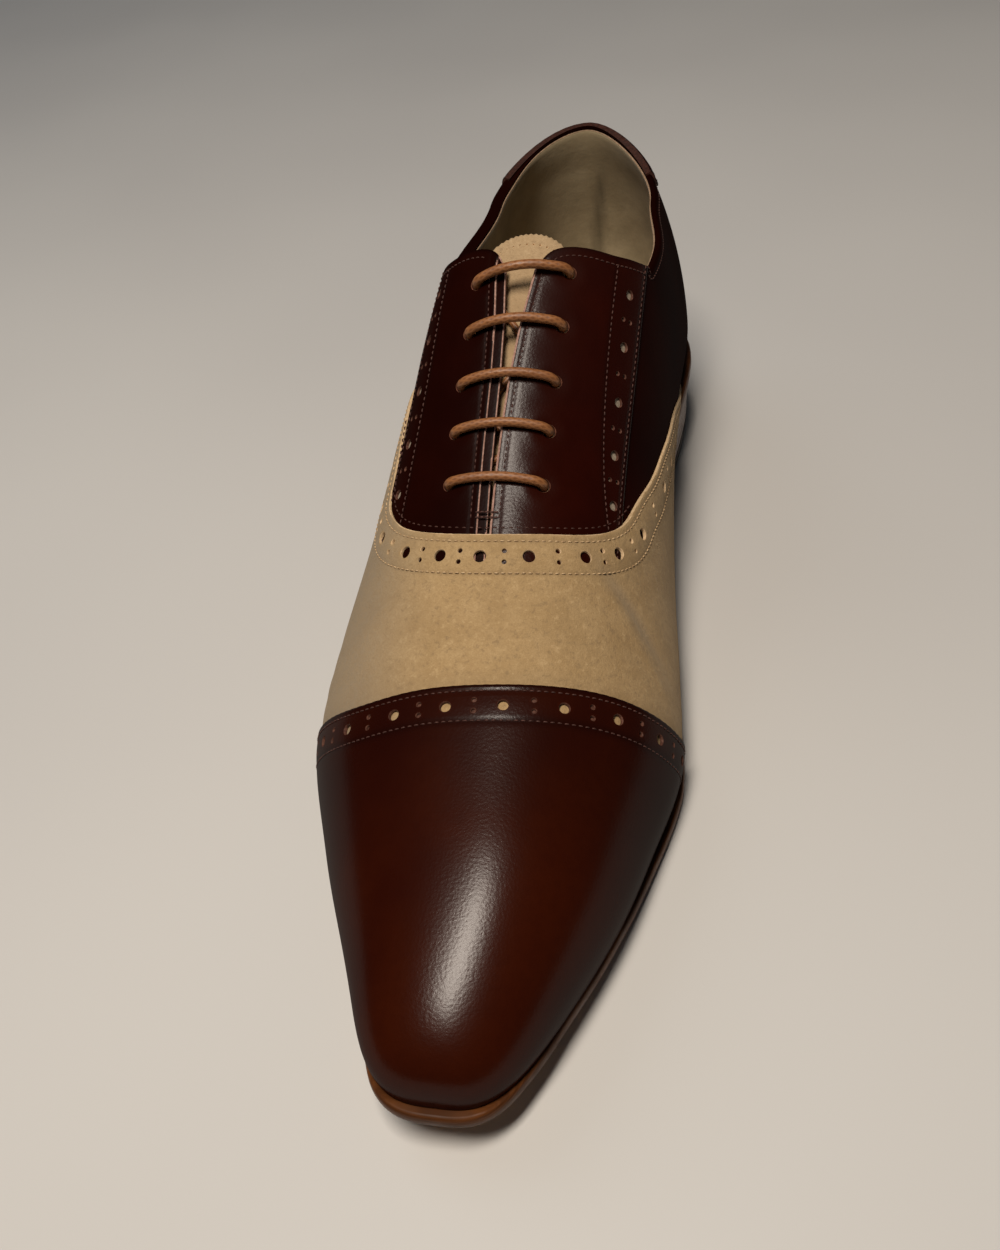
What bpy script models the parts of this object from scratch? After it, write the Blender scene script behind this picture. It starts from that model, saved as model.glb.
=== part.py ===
"""Spectator shoe, right foot: hollow upper on its last, insole, leather outsole, stacked heel,
tongue and the five bars of its lace.  Sizes below are millimetres, the scene is in metres.
+X is the inner (medial) side, -Y the toe, +Z up; the sole stands on z = 0."""
import bpy
import bmesh
import math
import numpy as np

# ---------------------------------------------------------------- driving sizes (mm)
LENGTH = 306.0            # upper, back of the heel to the toe tip
S_HEEL = 44.0             # station of the widest part of the heel; the back turns about it
S_TOE = 236.0             # the outline closes round the toe from here
PLAN_P = 3.3              # squareness of the toe seen from above
FRONT_Q = 3.1             # squareness of the toe seen from the side
HEEL_M = 2.15             # roundness of the heel seen from above, at the seat
HEEL_M_TOP = 1.88         # and at the collar, where it is narrower
TUCK_Z = 13.0             # height over which the wall draws in to the feather edge
WALL = 2.0                # upper leather with its lining
GAP = 0.3                 # clearance between neighbouring pieces
FLAT = 4.7                # lowest feather height: the tread is flat on the floor there

SOLE_T = 4.4              # outsole
INSOLE_T = 2.6            # insole board and sock
TOP_PIECE_T = 6.0         # wearing piece of the heel
S_BREAST = 75.0           # front of the heel
HEEL_TAPER = 1.6          # draw-in of the heel from seat to floor

THROAT_S = 181.0          # foot of the lacing slit
TONGUE_T = 1.6
TONGUE_GAP = 2.4
TONGUE_TOP = 107.5        # station of the tongue's upper edge at its middle
TONGUE_FOOT = 194.0       # its lower edge, under the vamp
LACE_R = 1.4
EYELET_LAT = 11.5         # eyelets from the middle of the slit, outer side
EYELET_MED = 13.0         # and inner side

X_MID = 4.52              # moves the middle of the width to x = 0
S_MID = 154.29            # moves the middle of the length to y = 0

# sections of the last: half widths either side, draw-in at the feather, feather height, ridge of the
# instep, and the fullness of each flank and of each shoulder
LAST_COLS = ("s", "lat", "med", "tuck", "feather", "ridge_x", "ridge_z", "side_lat", "top_lat", "side_med", "top_med")
LAST = [
    (44, -29.5, 39.2, 2.0, 29.0, -2.0, 126.0, .68, .58, .62, .36),
    (75, -33.4, 38.0, 3.0, 27.2, -0.2, 123.0, .71, .65, .76, .67),
    (105, -38.2, 37.7, 4.5, 21.0, -1.0, 112.0, .72, .67, .73, .70),
    (135, -45.0, 39.4, 5.0, 12.4, -3.4, 93.2, .66, .61, .58, .59),
    (165, -51.3, 42.2, 4.5, 6.8, -5.0, 73.6, .59, .55, .53, .55),
    (190, -54.2, 45.0, 3.6, 4.7, -4.4, 60.8, .58, .55, .54, .56),
    (212, -52.9, 45.6, 3.0, 4.7, -3.0, 52.5, .60, .58, .58, .58),
    (235, -46.2, 41.2, 2.6, 5.6, -1.5, 46.4, .62, .60, .60, .60),
    (258, -37.2, 35.1, 2.2, 7.8, 0.3, 42.0, .64, .62, .62, .62),
    (282, -28.4, 27.6, 2.0, 11.0, 0.0, 37.6, .66, .64, .64, .64),
    (306, -24.6, 21.6, 1.8, 15.0, -0.4, 34.4, .66, .66, .66, .66),
]
# back seam: height above the seat, distance in from the rearmost point, side position of the seam
BACK_COLS = ("height", "inset", "centre")
BACK = [(0, 3.2, 4.8), (12, 1.0, 4.8), (26, 0.0, 4.8), (42, 2.0, 4.6), (56, 5.0, 4.2), (68, 7.0, 3.8), (84, 9.6, 3.4)]
# collar: station, height of the edge
TOPLINE_COLS = ("s", "z")
TOPLINE = [(8, 98.0), (26, 91.6), (47, 88.4), (70, 89.0), (95, 90.8)]
# top edge of the facings: station, place up the flank (0 feather, 1 ridge)
FACING_COLS = ("s", "v")
FACING = [(95, .445), (99, .50), (104, .595), (107.5, .69), (110, .80), (111.5, .86), (113.5, .905), (116, .93)]
# lacing slit: station, half width
SLIT_COLS = ("s", "half")
SLIT = [(116, 4.3), (124, 3.5), (137, 2.3), (149, 1.9), (161, 1.1), (170, 0.8), (181, 0.6)]
# sole edge: station, how far it stands out past the feather edge on each side
EDGE_COLS = ("s", "lat", "med")
EDGE = [(0, 2.6, 2.6), (44, 2.4, 2.4), (75, 2.2, 1.8), (120, 1.6, 0.4), (165, 3.4, 2.2),
        (212, 4.0, 3.1), (235, 2.4, 1.9), (258, 1.1, 1.0), (282, 0.9, 0.9), (297, 1.5, 1.5), (306, 2.6, 2.6)]
# lace bars: station of the eyelet on each side, rise of the bar over the slit
BAR_COLS = ("lat_s", "med_s", "rise")
BARS = [(119.8, 117.0, 1.2), (131.8, 129.6, 0.8), (144.0, 142.4, 0.5), (155.2, 154.0, 0.2), (167.6, 167.0, 0.0)]

# stations of the upper's ribs between the heel fan and the toe fan
STATIONS = (44, 54, 64, 75, 86, 95, 99, 104, 107.5, 110, 111.5, 113.5, 116, 121, 127, 134, 141, 148, 155, 162, 169, 175, 181,
            186, 192, 199, 206, 213, 220, 228, 236)
HEEL_RIBS = 7
TOE_RIBS = 9
ROWS = 12                 # rows up the wall
SOLE_COLS = 6             # strips across the sole

LAT, MED = -1, 1


# ---------------------------------------------------------------- the last
def cubic(xs, ys, x, flat_start=False):
    """Natural cubic through a table column; level at its first row when asked."""
    xs = np.asarray(xs, float)
    ys = np.asarray(ys, float)
    n = len(xs)
    h = np.diff(xs)
    a = np.zeros((n, n))
    r = np.zeros(n)
    a[0, 0] = a[-1, -1] = 1.0
    if flat_start:
        a[0, 0], a[0, 1], r[0] = 2 * h[0], h[0], 6 * (ys[1] - ys[0]) / h[0]
    for i in range(1, n - 1):
        a[i, i - 1:i + 2] = h[i - 1], 2 * (h[i - 1] + h[i]), h[i]
        r[i] = 6 * ((ys[i + 1] - ys[i]) / h[i] - (ys[i] - ys[i - 1]) / h[i - 1])
    m = np.linalg.solve(a, r)
    x = np.asarray(x, float)
    k = np.clip(np.searchsorted(xs, x) - 1, 0, n - 2)
    t, u, hk = x - xs[k], xs[k + 1] - x, h[k]
    return (m[k] * u ** 3 + m[k + 1] * t ** 3) / (6 * hk) + (ys[k] / hk - m[k] * hk / 6) * u \
        + (ys[k + 1] / hk - m[k + 1] * hk / 6) * t


def column(rows, cols, name):
    return [r[cols.index(name)] for r in rows]


def last(name, s):
    return cubic(column(LAST, LAST_COLS, "s"), column(LAST, LAST_COLS, name),
                 np.clip(s, S_HEEL, LENGTH), flat_start=True)


def table(rows, cols, name, s):
    return np.interp(s, column(rows, cols, cols[0]), column(rows, cols, name))


def feather(s):
    return np.maximum(last("feather", s), FLAT)


def closing(s, p):
    k = np.clip((np.asarray(s, float) - S_TOE) / (LENGTH - S_TOE), 0, 1)
    return np.maximum(1 - k ** p, 0) ** (1 / p)


def flank(s, v, side):
    """Point of the last at station s, v from the feather edge (0) to the ridge (1)."""
    s = np.asarray(s, float)
    v = np.asarray(v, float)
    tag = "med" if side == MED else "lat"
    full, top = last("side_" + tag, s), last("top_" + tag, s)
    zf, xr = feather(s), last("ridge_x", s)
    w = (side * last(tag, s) - side * xr) * closing(s, PLAN_P)
    h = (last("ridge_z", s) - zf) * closing(s, FRONT_Q)
    u = 1 - v
    out = w * (u ** 3 + 3 * u * u * v + 3 * u * v * v * top)
    up = h * (3 * u * u * v * full + 3 * u * v * v + v ** 3)
    reach = np.minimum(TUCK_Z, 0.6 * h + 1e-6)
    out = out - last("tuck", s) * closing(s, PLAN_P) * np.clip(1 - up / reach, 0, 1) ** 2
    return np.stack(np.broadcast_arrays(xr + side * out, s, zf + up), -1)


def heel(theta, v, side):
    """Point of the last round the back: theta 0 at the back seam, pi/2 at S_HEEL."""
    p = flank(S_HEEL, v, side)
    up = np.clip(p[..., 2] - float(feather(S_HEEL)), 0, 84)
    inset, mid = (cubic(column(BACK, BACK_COLS, "height"), column(BACK, BACK_COLS, c), up) for c in BACK_COLS[1:])
    e = 2 / (HEEL_M + (HEEL_M_TOP - HEEL_M) * np.clip((up - 20) / 50, 0, 1))
    x = mid + (p[..., 0] - mid) * math.sin(theta) ** e
    s = S_HEEL - (S_HEEL - inset) * math.cos(theta) ** e
    return np.stack([x, s, p[..., 2]], -1)


def solve_v(f, goal):
    """Place up the flank where a rising height f(v) reaches its goal."""
    lo, hi = 0.0, 1.0
    for _ in range(40):
        mid = (lo + hi) / 2
        if f(mid) < goal:
            lo = mid
        else:
            hi = mid
    return (lo + hi) / 2


def top_of(s, side):
    """Upper limit of the wall at a station: collar, facing edge, slit, or the closed ridge."""
    if s <= FACING[0][0]:
        z = float(cubic(column(TOPLINE, TOPLINE_COLS, "s"), column(TOPLINE, TOPLINE_COLS, "z"), s))
        return solve_v(lambda v: float(flank(max(s, S_HEEL), v, side)[2]), z)
    if s < SLIT[0][0]:
        return float(table(FACING, FACING_COLS, "v", s))
    if s < THROAT_S:
        half = float(table(SLIT, SLIT_COLS, "half", s))
        xr = float(last("ridge_x", s))
        return solve_v(lambda v: -side * (float(flank(s, v, side)[0]) - xr), -half)
    return 1.0


def toe_stations():
    """Stations round the toe at even turns, without the tip."""
    a = np.linspace(0, math.pi / 2, TOE_RIBS + 2)[1:-1]
    return [float(S_TOE + (LENGTH - S_TOE) * math.sin(t) ** (2 / PLAN_P)) for t in a]


def ribs(side):
    """Ribs of one side, back seam to toe: (points up the wall, station, top reached)."""
    t = (np.arange(ROWS + 1) / ROWS) ** 1.45
    out = []
    for k in range(HEEL_RIBS):
        th = k * math.pi / 2 / HEEL_RIBS
        s = S_HEEL - (S_HEEL - 8.0) * math.cos(th) ** (2 / HEEL_M_TOP)
        top = top_of(s, side)
        out.append((heel(th, t * top, side), s, top))
    for s in list(STATIONS) + toe_stations():
        top = top_of(s, side)
        out.append((flank(s, t * top, side), s, top))
    return out


# ---------------------------------------------------------------- meshes
def world(p):
    """Millimetres on the last to metres in the scene."""
    p = np.asarray(p, float)
    return np.stack([p[..., 0] + X_MID, S_MID - p[..., 1], p[..., 2]], -1) * 0.001


def material(name, colour, rough):
    m = bpy.data.materials.new(name)
    m.use_nodes = True
    b = m.node_tree.nodes["Principled BSDF"]
    b.inputs["Base Color"].default_value = (*colour, 1.0)
    b.inputs["Roughness"].default_value = rough
    b.inputs["Metallic"].default_value = 0.0
    return m


def add(name, verts, faces, mat, parent):
    """Closed solid from points and faces, with faces pointing out."""
    mesh = bpy.data.meshes.new(name)
    bm = bmesh.new()
    vs = [bm.verts.new(tuple(v)) for v in world(verts)]
    for f in faces:
        f = [i for k, i in enumerate(f) if i != f[k - 1]]
        if len(f) > 2:
            bm.faces.new([vs[i] for i in f])
    bmesh.ops.delete(bm, geom=[v for v in bm.verts if not v.link_faces], context="VERTS")
    bmesh.ops.triangulate(bm, faces=[f for f in bm.faces if len(f.verts) > 3], quad_method="SHORT_EDGE")
    bmesh.ops.recalc_face_normals(bm, faces=bm.faces)
    if bm.calc_volume(signed=True) < 0:
        bmesh.ops.reverse_faces(bm, faces=bm.faces)
    bm.to_mesh(mesh)
    bm.free()
    mesh.shade_smooth()
    mesh.set_sharp_from_angle(angle=math.radians(40))
    mesh.materials.append(mat)
    ob = bpy.data.objects.new(name, mesh)
    ob.parent = parent
    bpy.context.scene.collection.objects.link(ob)
    return ob


def vertex_normals(p, faces):
    n = np.zeros_like(p)
    for f in faces:
        f = [i for k, i in enumerate(f) if i != f[k - 1]]
        q = p[f]
        fn = np.zeros(3)
        for k in range(len(q)):
            fn += np.cross(q[k], q[(k + 1) % len(q)])
        for i in f:
            n[i] += fn
    return n / np.maximum(np.linalg.norm(n, axis=1, keepdims=True), 1e-9)


def boundary(faces):
    """Directed edges that belong to one face only."""
    seen = set()
    for f in faces:
        f = [i for k, i in enumerate(f) if i != f[k - 1]]
        for k in range(len(f)):
            seen.add((f[k - 1], f[k]))
    return [e for e in seen if (e[1], e[0]) not in seen]


def upper_surface():
    """Outside of the upper as one grid: both flanks share the back seam, the closed ridge and the toe tip."""
    pts, faces, key = [], [], {}

    def vert(k, p):
        if k not in key:
            key[k] = len(pts)
            pts.append(p)
        return key[k]

    low = []
    for side in (LAT, MED):
        rb = ribs(side)
        idx = []
        for j, (p, s, top) in enumerate(rb):
            row = []
            for i in range(ROWS + 1):
                if j == 0:
                    k = ("back", i)
                elif i == ROWS and top == 1.0:
                    k = ("ridge", j)
                else:
                    k = (side, j, i)
                row.append(vert(k, p[i]))
            idx.append(row)
        tip = vert("tip", flank(LENGTH, 0.0, side))
        for j in range(len(idx) - 1):
            for i in range(ROWS):
                f = [idx[j][i], idx[j + 1][i], idx[j + 1][i + 1], idx[j][i + 1]]
                faces.append(f if side == MED else f[::-1])
        for i in range(ROWS):
            f = [idx[-1][i], tip, idx[-1][i + 1]]
            faces.append(f if side == MED else f[::-1])
        low += [r[0] for r in idx] + [tip]
    return np.array(pts), faces, sorted(set(low))


def upper_solid():
    """Wall between the outside and the same surface moved in by the leather's thickness."""
    p, faces, low = upper_surface()
    n = vertex_normals(p, faces)
    centre = np.array([0.0, 170.0, 30.0])
    if np.mean(np.einsum("ij,ij->i", n, p - centre)) < 0:
        n = -n
    for i in low:                                   # the lower rim stays level on the feather edge
        n[i, 2] = 0.0
        n[i] /= np.linalg.norm(n[i])
    q = p - WALL * n
    m = len(p)
    solid = list(faces) + [[i + m for i in f[::-1]] for f in faces]
    for a, b in boundary(faces):
        solid.append([b, a, a + m, b + m])
    return np.concatenate([p, q]), solid, q[low]


def outline(offset, s_end=None):
    """Feather edge moved outward by offset(s, side): matching points of both sides, back to front."""
    sides = {}
    for side in (LAT, MED):
        pts = [heel(k * math.pi / 2 / HEEL_RIBS, 0.0, side) for k in range(HEEL_RIBS)]
        pts += [flank(s, 0.0, side) for s in list(STATIONS) + toe_stations() + [LENGTH]]
        sides[side] = np.array(pts)
    loop = np.concatenate([sides[LAT], sides[MED][::-1][1:-1]])[:, :2]
    d = np.roll(loop, -1, 0) - np.roll(loop, 1, 0)
    nrm = np.stack([d[:, 1], -d[:, 0]], 1) / np.linalg.norm(d, axis=1, keepdims=True)
    if np.mean(np.einsum("ij,ij->i", nrm, loop - loop.mean(0))) < 0:
        nrm = -nrm
    k = len(sides[LAT])
    tag = [LAT] * k + [MED] * (len(loop) - k)
    moved = np.array([p + m * offset(p[1], t) for p, m, t in zip(loop, nrm, tag)])
    lat = moved[:k]
    med = np.concatenate([moved[:1], moved[k:][::-1], moved[k - 1:k]])
    if s_end is not None:
        keep = HEEL_RIBS + STATIONS.index(s_end) + 1
        lat, med = lat[:keep], med[:keep]
    return lat, med


def plate(layers, closed_front):
    """Solid of stacked outlines: each layer is (lat, med, height(s)); top layer first."""
    pts, idx = [], []
    for lat, med, height in layers:
        rows = []
        for j in range(len(lat)):
            one = j == 0 or (closed_front and j == len(lat) - 1)
            row = []
            for c in range(SOLE_COLS + 1):
                if one and c:
                    row.append(row[0])
                    continue
                q = lat[j] + (med[j] - lat[j]) * c / SOLE_COLS
                row.append(len(pts))
                pts.append((q[0], q[1], float(height(q[1]))))
            rows.append(row)
        idx.append(rows)
    faces = []
    n = len(layers[0][0])
    for rows, flip in ((idx[0], False), (idx[-1], True)):
        for j in range(n - 1):
            for c in range(SOLE_COLS):
                f = [rows[j][c], rows[j + 1][c], rows[j + 1][c + 1], rows[j][c + 1]]
                faces.append(f[::-1] if flip else f)
    rim = [(j, 0) for j in range(n)] + [(n - 1, c) for c in range(1, SOLE_COLS)] \
        + [(j, SOLE_COLS) for j in range(n - 1, 0, -1)]
    if closed_front:
        rim = [(j, 0) for j in range(n)] + [(j, SOLE_COLS) for j in range(n - 2, 0, -1)]
    for a, b in zip(idx[:-1], idx[1:]):
        for k in range(len(rim)):
            (j0, c0), (j1, c1) = rim[k], rim[(k + 1) % len(rim)]
            faces.append([a[j1][c1], a[j0][c0], b[j0][c0], b[j1][c1]])
    return np.array(pts), faces


# ---------------------------------------------------------------- the pieces
def edge_out(inset):
    def f(s, side):
        return float(table(EDGE, EDGE_COLS, "med" if side == MED else "lat", s)) - inset
    return f


def sole_top(s):
    return feather(s) - GAP


def sole_bottom(s):
    return feather(s) - GAP - SOLE_T


def outsole():
    layers = [(0.5, lambda s: sole_top(s)), (0.0, lambda s: sole_top(s) - 0.7),
              (0.0, lambda s: sole_bottom(s) + 1.1), (0.8, lambda s: sole_bottom(s))]
    return plate([(*outline(edge_out(i)), z) for i, z in layers], True)


def insole():
    inside = -(WALL + GAP + 0.1)
    o = outline(lambda s, side: inside)
    return plate([(*o, lambda s: feather(s) + INSOLE_T), (*o, lambda s: feather(s))], True)


def heel_stack():
    foot = TOP_PIECE_T + GAP
    top = outline(edge_out(0.5), S_BREAST)
    low = outline(edge_out(0.5 + HEEL_TAPER * 0.75), S_BREAST)
    return plate([(*top, lambda s: sole_bottom(s) - GAP), (*low, lambda s: foot)], False)


def heel_top_piece():
    top = outline(edge_out(0.5 + HEEL_TAPER * 0.75), S_BREAST)
    low = outline(edge_out(0.5 + HEEL_TAPER), S_BREAST)
    return plate([(*top, lambda s: TOP_PIECE_T), (*low, lambda s: 0.0)], False)


def flank_normal(s, v, side):
    ds, dv = 0.4, 0.004
    a = flank(s + ds, v, side) - flank(s - ds, v, side)
    b = flank(s, min(v + dv, 1.0), side) - flank(s, max(v - dv, 0.0), side)
    n = np.cross(a, b)
    n /= np.linalg.norm(n)
    return n if n[2] > 0 else -n


def over(s, x_off, lift):
    """Point above the last, x_off from the ridge, lifted along its normal."""
    side = MED if x_off >= 0 else LAT
    xr = float(last("ridge_x", s))
    v = 1.0 if abs(x_off) < 1e-6 else solve_v(lambda t: -side * (float(flank(s, t, side)[0]) - xr), -abs(x_off))
    n = flank_normal(s, v, side)
    if v > 0.985:                                   # the ridge itself is level from side to side
        n[0] = 0.0
        n /= np.linalg.norm(n)
    return flank(s, v, side) + lift * n


def tongue():
    """Sheet under the facings, rounded at its top."""
    cols, rows = 12, 13
    depth = WALL + TONGUE_GAP
    pts, idx = [], []
    for d in (depth, depth + TONGUE_T):
        grid = []
        for i in range(rows + 1):
            row = []
            for j in range(cols + 1):
                c = -1 + 2 * j / cols
                top = TONGUE_TOP + 13.0 * (1 - math.sqrt(1 - (0.97 * c) ** 2))
                s = top + (TONGUE_FOOT - top) * i / rows
                half = 17.0 + 1.5 * i / rows
                row.append(len(pts))
                pts.append(over(s, c * half, -d))
            grid.append(row)
        idx.append(grid)
    faces = []
    for grid, flip in ((idx[0], False), (idx[1], True)):
        for i in range(rows):
            for j in range(cols):
                f = [grid[i][j], grid[i + 1][j], grid[i + 1][j + 1], grid[i][j + 1]]
                faces.append(f[::-1] if flip else f)
    rim = [(0, j) for j in range(cols)] + [(i, cols) for i in range(rows)] \
        + [(rows, j) for j in range(cols, 0, -1)] + [(i, 0) for i in range(rows, 0, -1)]
    for k in range(len(rim)):
        (i0, j0), (i1, j1) = rim[k], rim[(k + 1) % len(rim)]
        faces.append([idx[0][i0][j0], idx[0][i1][j1], idx[1][i1][j1], idx[1][i0][j0]])
    return np.array(pts), faces


def lace_bar(name, lat_s, med_s, rise, mat, parent):
    """Round lace straight across the slit, resting just clear of the facings."""
    n = 12
    path = []
    for k in range(n + 1):
        t = k / n
        s = lat_s + (med_s - lat_s) * t
        path.append(over(s, -EYELET_LAT + (EYELET_LAT + EYELET_MED) * t, LACE_R + 0.5 + rise * math.sin(math.pi * t)))
    cu = bpy.data.curves.new(name, "CURVE")
    cu.dimensions = "3D"
    sp = cu.splines.new("POLY")
    sp.points.add(n)
    for q, w in zip(sp.points, world(path)):
        q.co = (*w, 1.0)
    cu.bevel_depth = LACE_R * 0.001
    cu.bevel_resolution = 2
    cu.use_fill_caps = True
    cu.materials.append(mat)
    ob = bpy.data.objects.new(name, cu)
    ob.parent = parent
    bpy.context.scene.collection.objects.link(ob)


def main():
    for ob in list(bpy.data.objects):
        bpy.data.objects.remove(ob, do_unlink=True)
    root = bpy.data.objects.new("shoe", None)
    bpy.context.scene.collection.objects.link(root)

    brown = material("brown_calf", (0.045, 0.014, 0.009), 0.28)
    lining = material("lining", (0.42, 0.31, 0.19), 0.7)
    sole = material("sole_leather", (0.30, 0.13, 0.05), 0.5)
    stack = material("heel_leather", (0.20, 0.085, 0.035), 0.5)
    rubber = material("top_piece", (0.03, 0.022, 0.018), 0.75)
    cream = material("tongue_suede", (0.62, 0.50, 0.33), 0.85)
    lace = material("lace", (0.36, 0.16, 0.06), 0.55)

    p, f, _ = upper_solid()
    add("upper", p, f, brown, root)
    add("insole", *insole(), lining, root)
    add("outsole", *outsole(), sole, root)
    add("heel_stack", *heel_stack(), stack, root)
    add("heel_top_piece", *heel_top_piece(), rubber, root)
    add("tongue", *tongue(), cream, root)
    for k, (a, b, rise) in enumerate(BARS):
        lace_bar("lace_bar_%d" % (k + 1), a, b, rise, lace, root)


main()
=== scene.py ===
"""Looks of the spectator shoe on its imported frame: layered leather panels with cut edges, broguing and
stitches, lining, tongue, lace, insole, sole and stacked heel.  Sizes are millimetres on the last, as in
the part; the scene is in metres, +X the inner side, -Y the toe, +Z up."""
import bpy
import math
import numpy as np
from mathutils import Matrix, Vector

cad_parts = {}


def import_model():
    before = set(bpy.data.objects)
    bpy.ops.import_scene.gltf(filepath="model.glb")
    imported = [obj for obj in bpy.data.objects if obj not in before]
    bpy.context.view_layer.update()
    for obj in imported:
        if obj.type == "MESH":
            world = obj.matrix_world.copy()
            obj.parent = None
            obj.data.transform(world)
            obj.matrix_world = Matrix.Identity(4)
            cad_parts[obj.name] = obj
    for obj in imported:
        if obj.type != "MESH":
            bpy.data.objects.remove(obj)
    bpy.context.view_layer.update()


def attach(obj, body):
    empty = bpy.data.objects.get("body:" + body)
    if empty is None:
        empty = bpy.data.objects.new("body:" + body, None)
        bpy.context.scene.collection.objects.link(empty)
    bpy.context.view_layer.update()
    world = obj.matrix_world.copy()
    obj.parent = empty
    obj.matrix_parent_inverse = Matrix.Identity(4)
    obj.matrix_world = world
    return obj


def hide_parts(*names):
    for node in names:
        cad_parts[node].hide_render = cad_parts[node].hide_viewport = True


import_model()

# ---------------------------------------------------------------- the last, as in the part
LENGTH, S_HEEL, S_TOE = 306.0, 44.0, 236.0
PLAN_P, FRONT_Q, HEEL_M, HEEL_M_TOP = 3.3, 3.1, 2.15, 1.88
TUCK_Z, WALL, GAP, FLAT = 13.0, 2.0, 0.3, 4.7
SOLE_T, INSOLE_T, TOP_PIECE_T, S_BREAST, HEEL_TAPER = 4.4, 2.6, 6.0, 75.0, 1.6
THROAT_S, TONGUE_TOP, TONGUE_FOOT = 181.0, 107.5, 194.0
LACE_R, EYELET_LAT, EYELET_MED = 1.25, 11.5, 13.0
X_MID, S_MID = 4.52, 154.29
LAT, MED = -1, 1

LAST_COLS = ("s", "lat", "med", "tuck", "feather", "ridge_x", "ridge_z", "side_lat", "top_lat", "side_med", "top_med")
LAST = np.array([
    (44, -29.5, 39.2, 2.0, 29.0, -2.0, 126.0, .68, .58, .62, .36),
    (75, -33.4, 38.0, 3.0, 27.2, -0.2, 123.0, .71, .65, .76, .67),
    (105, -38.2, 37.7, 4.5, 21.0, -1.0, 112.0, .72, .67, .73, .70),
    (135, -45.0, 39.4, 5.0, 12.4, -3.4, 93.2, .66, .61, .58, .59),
    (165, -51.3, 42.2, 4.5, 6.8, -5.0, 73.6, .59, .55, .53, .55),
    (190, -54.2, 45.0, 3.6, 4.7, -4.4, 60.8, .58, .55, .54, .56),
    (212, -52.9, 45.6, 3.0, 4.7, -3.0, 52.5, .60, .58, .58, .58),
    (235, -46.2, 41.2, 2.6, 5.6, -1.5, 46.4, .62, .60, .60, .60),
    (258, -37.2, 35.1, 2.2, 7.8, 0.3, 42.0, .64, .62, .62, .62),
    (282, -28.4, 27.6, 2.0, 11.0, 0.0, 37.6, .66, .64, .64, .64),
    (306, -24.6, 21.6, 1.8, 15.0, -0.4, 34.4, .66, .66, .66, .66),
])
BACK = np.array([(0, 3.2, 4.8), (12, 1.0, 4.8), (26, 0.0, 4.8), (42, 2.0, 4.6), (56, 5.0, 4.2), (68, 7.0, 3.8), (84, 9.6, 3.4)])
TOPLINE = np.array([(8, 98.0), (26, 91.6), (47, 88.4), (70, 89.0), (95, 90.8)])
FACING = np.array([(95, .445), (99, .50), (104, .595), (107.5, .69), (110, .80), (111.5, .86), (113.5, .905), (116, .93)])
SLIT = np.array([(116, 4.2), (122, 3.4), (131, 2.1), (144, 1.05), (155, 0.75), (167, 0.5), (181, 0.35)])
EDGE = np.array([(0, 2.6, 2.6), (44, 2.4, 2.4), (75, 2.2, 1.8), (120, 1.6, 0.4), (165, 3.4, 2.2),
                 (212, 4.0, 3.1), (235, 2.4, 1.9), (258, 0.8, 0.8), (282, 0.4, 0.6), (297, 1.0, 1.2), (306, 2.5, 2.5)])
BARS = [(119.8, 117.0, 1.2), (131.8, 129.6, 0.8), (144.0, 142.4, 0.5), (155.2, 154.0, 0.2), (167.6, 167.0, 0.0)]

# ---------------------------------------------------------------- seams (c: -1 outer feather, 0 ridge, 1 inner feather)
CAP_SEAM = np.array([(-1, 206.0), (-.81, 212.1), (-.6, 217.4), (-.393, 220.5), (-.17, 220.3), (.044, 219.1),
                     (.297, 215.9), (.459, 213.3), (.616, 210.7), (.863, 205.4), (1, 201.5)])
VAMP_SEAM = np.array([(-1, 62), (-.955, 75), (-.885, 90), (-.80, 102), (-.71, 112.5), (-.63, 121.5), (-.575, 130), (-.535, 138.5),
                      (-.508, 147), (-.487, 155), (-.455, 163), (-.406, 168.6), (-.311, 175), (-.182, 179.4), (0, 181.2),
                      (.2, 178.6), (.345, 173.9), (.425, 169.4), (.495, 163), (.565, 153), (.645, 142), (.725, 129),
                      (.805, 116), (.875, 101), (.93, 86), (.97, 72), (1, 58)])
STRIP_EDGE = {MED: np.array([(94, .466), (118, .474), (133, .486), (149, .502), (157, .510), (180, .530)]),
              LAT: np.array([(94, .496), (123, .507), (137, .517), (150, .518), (164, .515), (180, .515)])}
STRIP_LINE = {MED: np.array([(100, .626), (126, .626), (140, .620), (151, .612), (158, .603), (165, .590), (176, .565)]),
              LAT: np.array([(100, .622), (123, .637), (137, .645), (150, .643), (164, .639), (176, .638)])}
STRIP_HOLES = (111.0, 123.5, 136.5, 149.5, 162.0)
CAP_HOLES = (-.85, -.67, -.48, -.262, -.086, .084, .277, .473, .678, .86)
THROAT_HOLES = (-.294, -.151, -.017, .135, .325, .455, .576, .735)


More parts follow.
